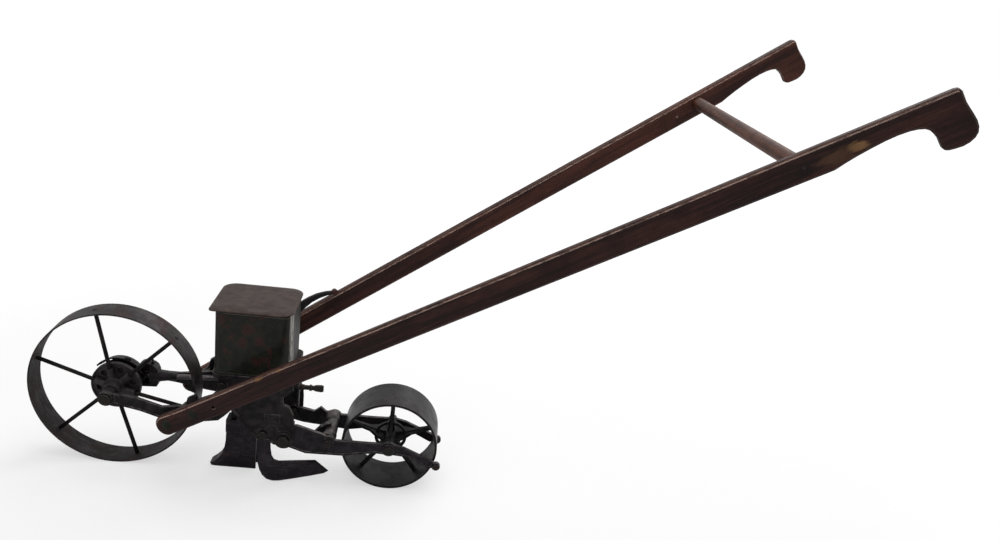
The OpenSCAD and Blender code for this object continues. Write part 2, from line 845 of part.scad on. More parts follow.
module lid() {
    skirt_gap = 1.2;
    color(lid_metal) {
        translate([lid_x, 0, lid_z])
            linear_extrude(lid_t)
            lid_outline(0);
        difference() {
            translate([hopper_x, 0, lid_z - 8])
                linear_extrude(8 + eps)
                rounded_box_outline(
                    hopper_l - 2 * (hopper_t + skirt_gap), hopper_w - 2 * (hopper_t + skirt_gap),
                    hopper_r - hopper_t - skirt_gap
                );
            translate([hopper_x, 0, lid_z - 9])
                linear_extrude(20)
                rounded_box_outline(
                    hopper_l - 2 * (hopper_t + skirt_gap + 1.5), hopper_w - 2 * (hopper_t + skirt_gap + 1.5),
                    hopper_r - hopper_t - skirt_gap - 1.5
                );
        }
    }
}

module base_bolts() {
    color(worn_iron)
    for (x = pad_xs, s = [-1, 1]) {
        y_head = s > 0 ? frame_out_y : -frame_out_y - 4;
        rod_y(axle_x + x, pad_z, m6 / 2, s > 0 ? frame_in_y - 16 : -frame_out_y, s > 0 ? frame_out_y : -frame_in_y + 16);
        hex_y(axle_x + x, pad_z, 10, y_head, y_head + 4);
    }
}

module base_nuts() {
    color(worn_iron)
    for (x = pad_xs, s = [-1, 1]) {
        y0 = s > 0 ? frame_in_y - 6 - 5 : -frame_in_y + 6;
        difference() {
            hex_y(axle_x + x, pad_z, 10, y0, y0 + 5);
            rod_y(axle_x + x, pad_z, m6 / 2, y0 - 1, y0 + 6);
        }
    }
}

// AGITATOR, FEED GATE AND SPOUT

module agitator_shaft() {
    color(worn_iron) {
        rod_y(throat_x, agitator_z, agitator_r, -throat_w / 2 - 3, crown_root_y);
        for (i = [0:3])
            translate([throat_x, (i - 1.5) * 7, agitator_z])
            rotate([0, i * 90 + 45, 0])
            translate([0, 0, agitator_r - 1])
            cylinder(d = 3.5, h = 11);
    }
}

module agitator_gear() {
    color(worn_iron)
    crown(throat_x, agitator_z, agitator_teeth, agitator_gear_r, agitator_r, 180 + drive_tilt);
}

module seed_plate() {
    color(bright_steel)
    difference() {
        translate([throat_x - throat_l / 2, -throat_w / 2, plate_low_z])
            cube([throat_l, throat_w, 3]);
        translate([throat_x, 0, 0])
            cylinder(d = feed_hole_d, h = 300);
        for (p = spout_screw_ps)
            translate([p[0], p[1], 0])
            cylinder(d = 3.2, h = 300);
    }
}

link_y = screw_axis_y;
strip_x0 = axle_x + 339;
strip_t = 3;
strip_low_z = 158;

// Sliding plate under the feed hole, with the cross pin that the shut-off lever's slot moves
module feed_gate() {
    color(bright_steel)
    difference() {
        union() {
            translate([throat_x - 18, -gate_w / 2, gate_z0])
                cube([axle_x + gate_pin_x + 5 - throat_x + 18, gate_w, gate_t]);
            translate([axle_x + gate_pin_x - 3, link_y - 5, gate_z0])
                cube([8, -link_y + 5, gate_t]);
            rod_y(axle_x + gate_pin_x, gate_pin_z, gate_pin_r, 0, frame_out_y + 17);
        }
        translate([throat_x, 0, 0])
            cylinder(d = feed_hole_d, h = 300);
    }
}

module gate_link() {
    start = [axle_x + gate_pin_x + 5, gate_pin_z];
    end = [strip_x0, strip_low_z];
    lean = atan2(end[1] - start[1], end[0] - start[0]);
    color(iron)
    intersection() {
        translate([start[0], link_y, start[1]])
            rotate([0, 90 - lean, 0])
            translate([0, 0, -6])
            cylinder(d = 5, h = norm(end - start) + 12);
        translate([start[0], link_y - 10, 0])
            cube([end[0] - start[0], 20, 300]);
    }
}

module gate_strip() {
    color(iron)
    difference() {
        translate([strip_x0 + strip_t, link_y, 0])
            rotate([0, -90, 0])
            linear_extrude(strip_t)
            union() {
                translate([strip_low_z - 4, -5])
                    square([screw_axis_z + 4 - strip_low_z, 10]);
                translate([screw_axis_z, 0])
                    circle(r = 7);
                translate([strip_low_z - 4, 0])
                    circle(r = 6);
            }
        translate([strip_x0 - 1, screw_axis_y, screw_axis_z])
            rotate([0, 90, 0])
            cylinder(r = 3.4, h = strip_t + 2);
    }
}

// Thumb screw that sets how far the gate opens: thread, collar, stem and a winged head
module thumb_screw() {
    collar_x = strip_x0 + strip_t + 0.3;
    color(iron)
    translate([0, screw_axis_y, screw_axis_z]) {
        translate([lug_x0, 0, 0])
            rotate([0, 90, 0])
            cylinder(r = 3, h = 58);
        translate([collar_x, 0, 0])
            rotate([0, 90, 0])
            cylinder(r = 5.5, h = 8);
        translate([collar_x + 8, 0, 0])
            rotate([0, 90, 0])
            cylinder(r = 4.5, h = 20);
        translate([collar_x + 18, 0, 0])
            rotate([0, 90, 0])
            cylinder(r = 6, h = 4);
        translate([collar_x + 27, 0, 0])
            rotate([90, 0, 0])
            linear_extrude(5, center = true)
            polygon([[0, -5], [6, -6], [13, -6.5], [17, -5], [17, 5], [13, 6.5], [6, 6], [0, 5]]);
    }
}

rail_y = gate_w / 2 + 0.4;
spout_flange_z0 = gate_z0 - 0.3 - 3.5;

module seed_spout() {
    bore_d = spout_d - 4;
    flange_l = 50;
    color(iron)
    difference() {
        union() {
            translate([throat_x - flange_l / 2, -throat_w / 2, spout_flange_z0])
                cube([flange_l, throat_w, plate_low_z - spout_flange_z0]);
            translate([throat_x, 0, spout_low_z])
                cylinder(d = spout_d, h = spout_flange_z0 - spout_low_z + eps);
        }
        translate([throat_x - 60, -rail_y, gate_z0 - 0.3])
            cube([120, 2 * rail_y, 20]);
        translate([throat_x, 0, spout_low_z - 1])
            cylinder(d = bore_d, h = 100);
        for (p = spout_screw_ps)
            translate([p[0], p[1], 0])
            cylinder(d = 3.2, h = 300);
    }
}

module spout_screws() {
    color(bright_steel)
    for (p = spout_screw_ps) {
        translate([p[0], p[1], spout_flange_z0 - eps])
            cylinder(d = 3, h = plate_low_z + 12 - spout_flange_z0);
        translate([p[0], p[1], spout_flange_z0 - 2.5])
            cylinder(d = 6, h = 2.5);
    }
}

// SHUT-OFF LEVER

lever_y0 = hopper_w / 2 + 6.1;
lever_t = 5;
bend_x = 322;
lever_bend = 32.5;

module lever_stud() {
    color(bright_steel) {
        rod_y(axle_x + lever_x, lever_z, 4, frame_in_y, lever_y0 + lever_t + 3);
        rod_y(axle_x + lever_x, lever_z, 7, lever_y0 + lever_t + 0.3, lever_y0 + lever_t + 3);
    }
}

// Upright bar outside the hopper, then a curved, tapering arm that leans out towards the right handle
module shutoff_lever() {
    color(iron)
    difference() {
        union() {
            translate([axle_x, 0, 0])
                plate_y(lever_y0, lever_y0 + lever_t)
                polygon([
                    [lever_x - 8, lever_z - 2], [lever_x + 8, lever_z - 2], [lever_x + 10, 160], [lever_x + 14, 220],
                    [bend_x, 300], [bend_x, 320], [bend_x - 8, 306], [lever_x + 1, 225], [lever_x - 8, 155]
                ]);
            rod_y(axle_x + lever_x, lever_z, 9, frame_out_y + 0.3, lever_y0 + lever_t);
            translate([axle_x + bend_x, lever_y0, 0])
                rotate([0, 0, lever_bend])
                plate_y(0, lever_t)
                polygon([
                    [0, 300], [10, 311], [24, 321.5], [40, 328.5], [56, 332], [72, 332.5],
                    [72, 336.5], [54, 336.5], [36, 334], [20, 328.5], [8, 323], [0, 317]
                ]);
            translate([axle_x + bend_x, lever_y0, 0])
                rotate([0, 0, lever_bend])
                rod_y(73, 334.5, 6, -2, lever_t + 2);
        }
        rod_y(axle_x + lever_x, lever_z, 4 + run_gap, 0, 200);
        translate([axle_x + gate_pin_x, 0, gate_pin_z])
            rotate([0, lever_swing / 2, 0])
            translate([-gate_pin_r - 0.4, lever_y0 - 1, -6])
            cube([2 * gate_pin_r + 0.8, lever_t + 2, 12]);
    }
}

// OPENER

opener_low_z = 0.8;
opener_top_z = 104;
heel_x = 264;

// Side view of the shoe: its cutting edge sweeps forward to a low toe
module opener_side() {
    polygon([
        [176.5, opener_low_z + 4], [180, opener_low_z], [heel_x, opener_low_z], [heel_x, opener_top_z], [209, opener_top_z],
        [207, 100], [206.5, 76], [206, 58], [204, 44], [200, 31], [194, 20], [186, 11.5]
    ]);
}

module opener() {
    channel_w = spout_d + 3;
    color(iron)
    difference() {
        union() {
            intersection() {
                translate([axle_x, 0, 0])
                    plate_y(-opener_t / 2, opener_t / 2)
                    opener_side();
                translate([axle_x, 0, 0])
                    linear_extrude(300)
                    polygon([
                        [172, -opener_t / 2 + 6], [180, -opener_t / 2 + 1], [190, -opener_t / 2], [heel_x, -opener_t / 2],
                        [heel_x, opener_t / 2], [190, opener_t / 2], [180, opener_t / 2 - 1], [172, opener_t / 2 - 6]
                    ]);
            }
            translate([axle_x + 206, -opener_t / 2 - 2, 78])
                cube([31, opener_t + 4, opener_top_z - 78]);
            for (s = [-1, 1])
                translate([axle_x + 239, s > 0 ? opener_t / 2 - eps : -opener_t / 2 - 2.5, 30])
                cube([heel_x - 239, 2.5 + eps, opener_top_z + 3 - 30]);
        }
        translate([axle_x + feed_x - channel_w / 2 - 1, -channel_w / 2, -1])
            cube([60, channel_w, 300]);
        translate([socket_x - standard_w / 2, -8, opener_top_z - 20])
            cube([standard_w, 16, 30]);
        for (z = [45, 90])
            rod_y(axle_x + 246, z, 3, -50, 50);
    }
}

module opener_rivets() {
    head_r = 4.5;
    color(worn_iron)
    for (z = [45, 90]) {
        rod_y(axle_x + 246, z, 3, -opener_t / 2 - 2.5, opener_t / 2 + 2.5);
        rod_y(axle_x + 246, z, head_r, -opener_t / 2 - 4, -opener_t / 2 - 2.5);
        rod_y(axle_x + 246, z, head_r, opener_t / 2 + 2.5, opener_t / 2 + 4);
    }
}

module opener_standard() {
    color(iron)
    translate([socket_x - standard_w / 2, -8, opener_top_z - 20])
        cube([standard_w, 16, 82]);
}

module opener_set_screw() {
    color(bright_steel)
    translate([socket_x - standard_w / 2 - 0.3, 0, 142])
        rotate([0, -90, 0]) {
            cylinder(d = 8, h = 17);
            translate([0, 0, 10])
                cylinder(d = 14, h = 7, $fn = 4);
        }
}

// COVERER

cover_t = 5;
cover_y0 = -frame_in_y + 0.3;
cover_turn_x = 304;
cover_angle = 19.5;

// Shank in the frame's plane, then a blade that turns in towards the seed row
module coverer() {
    color(iron)
    difference() {
        union() {
            translate([axle_x, 0, 0])
                plate_y(cover_y0, cover_y0 + cover_t)
                union() {
                    polygon([
                        [cover_bolt_x - 13, cover_bolt_z], [274, 42], [277, 28], [283, 15], [292, 6], [cover_turn_x, 2.5],
                        [cover_turn_x, 47], [300, 56], [298, 72], [297, cover_bolt_z]
                    ]);
                    translate([cover_bolt_x, cover_bolt_z])
                        circle(r = 13);
                }
            translate([axle_x + cover_turn_x, cover_y0, 0])
                rotate([0, 0, cover_angle])
                plate_y(0, cover_t)
                polygon([
                    [-1.5, 2.5], [14, 1.8], [40, 3], [72, 5], [98, 7.5], [107, 12], [81, 38], [8, 45], [-1.5, 47]
                ]);
        }
        rod_y(axle_x + cover_bolt_x, cover_bolt_z, 4 + run_gap, -100, 0);
    }
}

module coverer_bolt() {
    color(worn_iron) {
        rod_y(axle_x + cover_bolt_x, cover_bolt_z, 4, -frame_out_y - 1, cover_y0 + cover_t + 10);
        hex_y(axle_x + cover_bolt_x, cover_bolt_z, 13, -frame_out_y - 5, -frame_out_y);
    }
}

module coverer_nut() {
    color(worn_iron)
    difference() {
        hex_y(axle_x + cover_bolt_x, cover_bolt_z, 13, cover_y0 + cover_t + 0.2, cover_y0 + cover_t + 7);
        rod_y(axle_x + cover_bolt_x, cover_bolt_z, 4, -100, 0);
    }
}

// REAR FRAME AND WHEEL

arm_out_y = frame_in_y - 0.5;
arm_in_y = arm_out_y - arm_t;
tie_x = wheelbase - 114.5;
tie_z = 95;
tie_r = 12;
end_x = wheelbase + 92;
end_z = 62;

// A place along an arm, from its pivot at 0 to the tie at 1
function to_tie(part) = pivot_x + part * (tie_x - pivot_x);

// Right rear arm seen from the side; the front part's depth differs from left to right
module arm_outline(front_points) {
    polygon(concat(front_points, [
        [tie_x + 28, 70], [wheelbase - 26.5, 81], [wheelbase - 8, 80], [wheelbase + 8, 80], [wheelbase + 36, 78], [wheelbase + 78, 57],
        [end_x, end_z], [wheelbase + 86, 72], [wheelbase + 28, 97], [wheelbase + 8, 102], [wheelbase - 8, 102],
        [wheelbase - 38.5, 101], [tie_x + 15, 101]
    ]));
    translate([pivot_x, pivot_z])
        circle(r = 16);
    translate([wheelbase, rear_r])
        circle(r = 14);
    translate([end_x, end_z])
        circle(r = 8);
    translate([tie_x, tie_z])
        circle(r = tie_r + 2);
}

module arm_panel(front_points) {
    difference() {
        offset(delta = -panel_border)
            arm_outline(front_points);
        translate([pivot_x, pivot_z])
            circle(r = 17);
        for (p = [[wheelbase, rear_r], [tie_x, tie_z], [end_x, end_z]])
            translate(p)
            circle(r = 10);
    }
}

module rear_arm(front_points) {
    difference() {
        union() {
            translate([axle_x, 0, 0])
                difference() {
                    plate_y(arm_in_y, arm_out_y)
                        arm_outline(front_points);
                    plate_y(arm_out_y - panel_depth, arm_out_y + 1)
                        arm_panel(front_points);
                }
            rod_y(rear_x, rear_r, 11, arm_out_y - eps, arm_out_y + 3);
        }
        rod_y(axle_x + pivot_x, pivot_z, pivot_d / 2 + run_gap, 0, 100);
        rod_y(rear_x, rear_r, rear_axle_d / 2, 0, 100);
        rod_y(axle_x + end_x, end_z, 3.2, 0, 100);
        rod_y(axle_x + tie_x, tie_z, 4, 0, 100);
    }
}

module left_rear_arm() {
    color(iron)
    mirror([0, 1, 0])
        rear_arm([
            [to_tie(0.85), 112], [pivot_x + 23, head_top_z + 0.9], [pivot_x + 18, head_top_z],
            [pivot_x + 12, 124], [pivot_x, pivot_z + 16], [pivot_x - 6, pivot_z + 14], [toe_x + 5, toe_z + 1],
            [toe_x, toe_z], [toe_x, 92], [pivot_x, pivot_z - 16], [to_tie(0.27), 75], [to_tie(0.5), 69]
        ]);
}

module right_rear_arm() {
    color(iron)
    rear_arm([
        [to_tie(0.79), 105], [to_tie(0.66), 114], [to_tie(0.51), 104], [pivot_x, pivot_z + 15],
        [pivot_x, pivot_z - 15], [to_tie(0.27), 78], [to_tie(0.72), 75]
    ]);
}

module cross_tie() {
    foot = 1;
    foot_out = 4;
    color(iron)
    difference() {
        union() {
            rod_y(axle_x + tie_x, tie_z, tie_r, -arm_in_y, arm_in_y);
            for (s = [-1, 1])
                mirror([0, s > 0 ? 0 : 1, 0])
                hull() {
                    rod_y(axle_x + tie_x, tie_z, tie_r + foot, arm_in_y - 22, arm_in_y - 21);
                    rod_y(axle_x + tie_x - foot_out, tie_z, tie_r + 4 * foot, arm_in_y - 3, arm_in_y);
                }
        }
        rod_y(axle_x + tie_x, tie_z, 4, -100, 100);
    }
}

module tie_bolt() {
    color(worn_iron) {
        rod_y(axle_x + tie_x, tie_z, 4, -arm_out_y, arm_out_y + 8);
        hex_y(axle_x + tie_x, tie_z, 13, -arm_out_y - 4, -arm_out_y);
    }
}

module tie_nut() {
    color(worn_iron)
    difference() {
        hex_y(axle_x + tie_x, tie_z, 13, arm_out_y, arm_out_y + 6);
        rod_y(axle_x + tie_x, tie_z, 4, 0, 100);
    }
}

// Hooked stop on the tie that the depth chain or a pin can catch
module depth_hook() {
    color(iron)
    difference() {
        translate([axle_x, 0, 0])
            plate_y(-14, -2)
            union() {
                difference() {
                    translate([tie_x, tie_z])
                        circle(r = tie_r + 7);
                    translate([tie_x, tie_z])
                        circle(r = tie_r);
                    translate([tie_x, tie_z - 30])
                        square([40, 60]);
                }
                difference() {
                    translate([tie_x, tie_z])
                        polygon([[-11, 13], [-21, 9], [-31, -3], [-35, -18], [-27, -23], [-18, -13], [-9, -7]]);
                    translate([tie_x, tie_z])
                        circle(r = tie_r);
                }
            }
        rod_y(axle_x + tie_x - 25.5, tie_z - 15.5, 2.5, -30, 30);
    }
}

module pivot_bolts() {
    color(worn_iron)
    for (s = [-1, 1])
        mirror([0, s > 0 ? 0 : 1, 0]) {
            rod_y(axle_x + pivot_x, pivot_z, pivot_d / 2, arm_in_y - 4, frame_out_y + 3);
            hex_y(axle_x + pivot_x, pivot_z, 19, frame_out_y + 3, frame_out_y + 9);
            hex_y(axle_x + pivot_x, pivot_z, 18, arm_in_y - 7, arm_in_y - 0.3);
        }
}

module arm_end_bolts() {
    color(rust_iron)
    for (s = [-1, 1])
        mirror([0, s > 0 ? 0 : 1, 0]) {
            rod_y(axle_x + end_x, end_z, 3.2, arm_in_y - 6, arm_out_y);
            rod_y(axle_x + end_x, end_z, 6, arm_out_y, arm_out_y + 3);
            hex_y(axle_x + end_x, end_z, 10, arm_in_y - 5, arm_in_y);
        }
}

module rear_axle() {
    color(rust_iron) {
        rod_y(rear_x, rear_r, rear_axle_d / 2, -arm_out_y - 3, arm_out_y + 16);
        rod_y(rear_x, rear_r, 9, -arm_out_y - 8, -arm_out_y - 3);
    }
}

module rear_axle_nut() {
    color(rust_iron)
    difference() {
        hex_y(rear_x, rear_r, 19, arm_out_y + 3, arm_out_y + 12);
        rod_y(rear_x, rear_r, rear_axle_d / 2, 0, 100);
    }
}

// Cast wheel: rim, tapering ribbed spokes and a webbed hub in one piece
module rear_wheel() {
    hub_r = 13;
    hub_half = arm_in_y - 0.6;
    rim_in_r = rear_r - rear_rim_t;
    color(iron)
    difference() {
        union() {
            translate([rear_x, 0, rear_r])
                rotate([90, 0, 0])
                rotate_extrude($fn = 128)
                translate([rim_in_r, -rear_w / 2])
                square([rear_rim_t, rear_w]);
            rod_y(rear_x, rear_r, hub_r, -hub_half, hub_half);
            difference() {
                rod_y(rear_x, rear_r, 31, -3, 3);
                rod_y(rear_x, rear_r, 26, -4, 4);
            }
            for (i = [0:rear_spokes_n - 1])
                translate([rear_x, 0, rear_r])
                rotate([0, i * 360 / rear_spokes_n, 0]) {
                    plate_y(-3, 3)
                        polygon([[-9, 0], [9, 0], [4.5, 34], [3.5, rim_in_r + 1], [-3.5, rim_in_r + 1], [-4.5, 34]]);
                    rotate([0, 0, 90])
                        plate_y(-2.5, 2.5)
                        polygon([
                            [-28, 0], [28, 0], [27, hub_r], [21, 28], [9, 42], [5, rim_in_r + 1],
                            [-5, rim_in_r + 1], [-9, 42], [-21, 28], [-27, hub_r]
                        ]);
                }
        }
        rod_y(rear_x, rear_r, rear_axle_d / 2 + run_gap, -100, 100);
    }
}

// HANDLES

// Side view of a handle: round foot, straight bar, belly, finger notch and a rounded end lobe
foot_u = 121;
foot_r = 20;
foot_lean = atan(under_slope * cos_splay);
handle_points = [
    each arc(foot_u, mid_z(foot_u), foot_r, 100 + foot_lean, 260 + foot_lean, 14),
    [grip_u - 176, under_z(grip_u - 176)],
    [grip_u - 164, 775.5], [grip_u - 150, 788.5], [grip_u - 134, 802], [grip_u - 118, 815],
    [grip_u - 103, 825.5], [grip_u - 89, 833.5], [grip_u - 79, 837.5], [grip_u - 70, 839.5],
    [grip_u - 63, 838.5], [grip_u - 56, 834.5], [grip_u - 50, 829.5], [grip_u - 45, 822.5],
    [grip_u - 41, 817], [grip_u - 37, 814.5], [grip_u - 32, 815], [grip_u - 24, 818.5],
    [grip_u - 14, 824], [grip_u - 7, 830.5], [grip_u - 2, 838], [grip_u, 846],
    [grip_u - 1.5, 854], [grip_u - 6, 862], [grip_u - 13, 870], [grip_u - 20, 877],
    [grip_u - 27, 884.5], [grip_u - 32, 892], [grip_u - 36, 898], [grip_u - 41, 901],
    [grip_u - 46, top_z(grip_u - 46)], [134, top_z(134)]
];

// Points of a closed anticlockwise outline moved inwards by c
function inset(points, c) = [
    for (i = [0:len(points) - 1])
        let (
            n = len(points),
            before = points[i] - points[(i + n - 1) % n],
            after = points[(i + 1) % n] - points[i],
            left = [-before[1], before[0]] / norm(before),
            right = [-after[1], after[0]] / norm(after),
            half = (left + right) / norm(left + right)
        )
        points[i] + half * c / (half * left)
];

// A plate along Y whose outline is chamfered by c on both faces; the chamfers run past the faces and are cut there
module chamfered_plate(points, t, c) {
    n = len(points);
    over = 1;
    inner = inset(points, c + over);
    corners = [
        for (p = inner) [p[0], -t / 2 - over, p[1]],
        for (p = points) [p[0], -t / 2 + c, p[1]],
        for (p = points) [p[0], t / 2 - c, p[1]],
        for (p = inner) [p[0], t / 2 + over, p[1]]
    ];
    faces = [
        [for (i = [n - 1:-1:0]) i],
        for (k = [0:2], i = [0:n - 1]) [k * n + i, k * n + (i + 1) % n, (k + 1) * n + (i + 1) % n, (k + 1) * n + i],
        [for (i = [0:n - 1]) 3 * n + i]
    ];
    intersection() {
        polyhedron(points = corners, faces = faces, convexity = 6);
        translate([0, -t / 2, 0])
            cube([grip_u + 100, t, 1000]);
    }
}

module handle() {
    difference() {
        in_handle_plane()
            chamfered_plate(handle_points, handle_t, handle_chamfer);
        for (u = bolt_us)
            in_handle_plane()
                rod_y(u, mid_z(u), handle_bolt_d / 2 + 0.2, -handle_t, handle_t);
        in_handle_plane()
            rod_y(211.8, 183, 3, -handle_t, handle_t);
    }
}

// The crosspiece runs between a point in each handle's middle; the left one lies a little further back
cross_left_u = grip_u - 222;
cross_right_u = grip_u - 229;
cross_lift = 1.5;
function handle_mid(u, side) = [
    axle_x + u * cos_splay, side * (handle_y0 + u * sin(handle_splay)), mid_z(u) + cross_lift
];
cross_left = handle_mid(cross_left_u, -1);
cross_right = handle_mid(cross_right_u, 1);
cross_line = cross_right - cross_left;
tenon_r = crosspiece_d / 2 - 4;
mortise_skin = 4;
nail_d = 3;

// Places a child with its Z axis along the crosspiece, from its middle in the left handle
module on_crosspiece() {
    translate(cross_left)
        rotate([0, 90 - atan2(cross_line[2], norm([cross_line[0], cross_line[1]])), atan2(cross_line[1], cross_line[0])])
        children();
}

// The space within both handles, less a skin of the given depth at each outer face
module between_handles(skin) {
    depth = handle_y0 + 1400 * sin(handle_splay);
    intersection_for (s = [0, 1])
        mirror([0, s, 0])
        in_handle_plane()
        translate([-400, handle_t / 2 - skin - 3 * depth, -100])
        cube([2400, 3 * depth, 1200]);
}

module crosspiece_mortise() {
    intersection() {
        on_crosspiece()
            translate([0, 0, -40])
            cylinder(r = tenon_r, h = norm(cross_line) + 80);
        between_handles(mortise_skin);
    }
    on_crosspiece()
        translate([0, 0, -40])
        cylinder(d = nail_d, h = norm(cross_line) + 80);
}

module left_handle() {
    color(wood)
    difference() {
        mirror([0, 1, 0])
            handle();
        crosspiece_mortise();
    }
}

module right_handle() {
    color(wood)
    difference() {
        handle();
        crosspiece_mortise();
    }
}

// Turned bar whose ends are cut to the handles' inner faces and carry a round tenon
module crosspiece() {
    color(wood)
    difference() {
        union() {
            intersection() {
                on_crosspiece()
                    cylinder(d = crosspiece_d, h = norm(cross_line));
                between_handles(handle_t + seat_gap);
            }
            intersection() {
                on_crosspiece()
                    translate([0, 0, -20])
                    cylinder(r = tenon_r, h = norm(cross_line) + 40);
                between_handles(mortise_skin + seat_gap);
            }
        }
        crosspiece_nail_holes();
    }
}

nail_len = 26;

module crosspiece_nail_holes() {
    for (end = [-1, 1])
        on_crosspiece()
        translate([0, 0, end > 0 ? norm(cross_line) + handle_t - nail_len : -handle_t])
        cylinder(d = nail_d, h = nail_len);
}

// A nail through each handle's outer face into the end of the crosspiece
module crosspiece_nails() {
    color(bright_steel)
    intersection() {
        crosspiece_nail_holes();
        between_handles(0);
    }
}

module handle_bolts() {
    seat_y = -handle_t / 2 - seat_gap;
    color(worn_iron)
    for (s = [-1, 1], u = bolt_us)
        mirror([0, s > 0 ? 0 : 1, 0])
        in_handle_plane() {
            rod_y(u, mid_z(u), handle_bolt_d / 2, seat_y - seat_t - 7, handle_t / 2);
            translate([u, handle_t / 2, mid_z(u)])
                intersection() {
                    translate([0, -11, 0])
                        sphere(r = 14.5);
                    translate([-20, 0, -20])
                        cube([40, 20, 40]);
                }
        }
}

module handle_nuts() {
    seat_y = -handle_t / 2 - seat_gap;
    color(worn_iron)
    for (s = [-1, 1], u = bolt_us)
        mirror([0, s > 0 ? 0 : 1, 0])
        in_handle_plane()
        difference() {
            hex_y(u, mid_z(u), 13, seat_y - seat_t - 5.5, seat_y - seat_t);
            rod_y(u, mid_z(u), handle_bolt_d / 2, -60, 0);
        }
}

front_rim();
front_spokes();
front_hub();
crown_gear();
crown_screws();
front_axle();
front_axle_nut();
axle_spacers();
gear_guard();
drive_shaft();
front_pinion();
rear_pinion();
pinion_pins();
front_bearing();
rear_bearing();
oil_cup();
left_side_frame();
right_side_frame();
hopper_base();
base_bolts();
base_nuts();
hopper();
hopper_funnel();
hopper_screws();
lid();
agitator_shaft();
agitator_gear();
seed_plate();
feed_gate();
gate_link();
gate_strip();
thumb_screw();
seed_spout();
spout_screws();
shutoff_lever();
lever_stud();
opener();
opener_standard();
opener_rivets();
opener_set_screw();
coverer();
coverer_bolt();
coverer_nut();
left_rear_arm();
right_rear_arm();
cross_tie();
tie_bolt();
tie_nut();
depth_hook();
pivot_bolts();
arm_end_bolts();
rear_axle();
rear_axle_nut();
rear_wheel();
left_handle();
right_handle();
crosspiece();
crosspiece_nails();
handle_bolts();
handle_nuts();
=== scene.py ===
"""Walk-behind seed planter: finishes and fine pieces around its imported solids, and its studio."""

import math

import bmesh
import bpy
from mathutils import Euler, Matrix, Vector
from mathutils import noise as pattern


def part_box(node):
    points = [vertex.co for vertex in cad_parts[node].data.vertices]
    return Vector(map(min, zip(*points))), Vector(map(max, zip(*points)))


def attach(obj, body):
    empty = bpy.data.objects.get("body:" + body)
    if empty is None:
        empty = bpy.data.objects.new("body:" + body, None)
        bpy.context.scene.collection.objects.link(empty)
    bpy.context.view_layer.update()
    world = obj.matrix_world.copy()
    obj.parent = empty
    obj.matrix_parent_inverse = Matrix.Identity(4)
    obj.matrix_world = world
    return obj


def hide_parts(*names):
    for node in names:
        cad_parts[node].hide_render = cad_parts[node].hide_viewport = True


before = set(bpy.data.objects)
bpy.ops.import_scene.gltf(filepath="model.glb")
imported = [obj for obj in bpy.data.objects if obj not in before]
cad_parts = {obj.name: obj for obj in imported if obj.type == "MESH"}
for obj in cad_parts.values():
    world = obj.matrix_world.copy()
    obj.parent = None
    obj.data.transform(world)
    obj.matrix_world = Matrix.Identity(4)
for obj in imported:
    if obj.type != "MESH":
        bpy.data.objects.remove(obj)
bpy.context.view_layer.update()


# CAST SIDE FRAMES AND HOPPER BASE
# Grey iron poured in sand moulds: two long side frames bolted to a box-shaped base, once painted black.
# The paint has gone to a dull dark skin, browned by rust in the hollows and rubbed grey on the edges, with
# pale dust and painted light from above on what faces up.

class Value:
    """An output in a material's nodes, with which sums and products can be written out."""

    def __init__(self, socket):
        self.socket = socket

    def node(self, kind, settings, inputs, output=0):
        """Adds a node: its settings are set first, then each input gets a number or a link."""
        tree = self.socket.id_data
        made = tree.nodes.new("ShaderNode" + kind)
        for name, setting in settings.items():
            setattr(made, name, setting)
        for name, given in inputs.items():
            if isinstance(given, Value):
                tree.links.new(given.socket, made.inputs[name])
            else:
                made.inputs[name].default_value = given
        return Value(made.outputs[output])

    def math(self, operation, first, second):
        return self.node("Math", {"operation": operation}, {0: first, 1: second})

    def __add__(self, other):
        return self.math("ADD", self, other)

    def __mul__(self, other):
        return self.math("MULTIPLY", self, other)

    def __sub__(self, other):
        return self.math("SUBTRACT", self, other)

    def __rsub__(self, other):
        return self.math("SUBTRACT", other, self)

    __radd__ = __add__
    __rmul__ = __mul__


def tone(red, green, blue):
    """A colour as a screen shows it, 0 to 255 each, made linear."""
    shares = [level / 255 for level in (red, green, blue)]
    linear = [share / 12.92 if share < 0.04 else ((share + 0.055) / 1.055) ** 2.4 for share in shares]
    return (*linear, 1.0)


def start_material(name):
    """A new material, and the place of a point in the machine's own frame."""
    material = bpy.data.materials.new(name)
    material.use_nodes = True
    place = material.node_tree.nodes.new("ShaderNodeTexCoord")
    return material, Value(place.outputs["Object"])


def noise(place, scale, detail=4.0, roughness=0.55, stretch=(1, 1, 1), shift=(0, 0, 0)):
    """Cloudy noise from 0 to 1 with scale lumps to the metre, or stretch lumps along each axis."""
    if stretch != (1, 1, 1) or shift != (0, 0, 0):
        place = place.node("Mapping", {}, {"Vector": place, "Scale": stretch, "Location": shift})
    inputs = {"Vector": place, "Scale": scale, "Detail": detail, "Roughness": roughness}
    return place.node("TexNoise", {}, inputs)


def rise(value, low, high):
    """0 below low, 1 above high, smooth between."""
    inputs = {"Value": value, "From Min": low, "From Max": high}
    return value.node("MapRange", {"interpolation_type": "SMOOTHSTEP"}, inputs)


def mix(mask, under, over):
    """The colour under where the mask is 0 and the colour over where it is 1."""
    return mask.node("Mix", {"data_type": "RGBA"}, {0: mask, 6: under, 7: over}, output=2)


def dot(first, second):
    return first.node("VectorMath", {"operation": "DOT_PRODUCT"}, {0: first, 1: second}, output="Value")


def softened(place, radius):
    """The normal with edges rounded by radius, and how far that turns it: 0 on the flat, more at an edge."""
    rounded = place.node("Bevel", {"samples": 4}, {"Radius": radius})
    flat = place.node("NewGeometry", {}, {}, output="Normal")
    return rounded, 1 - dot(rounded, flat)


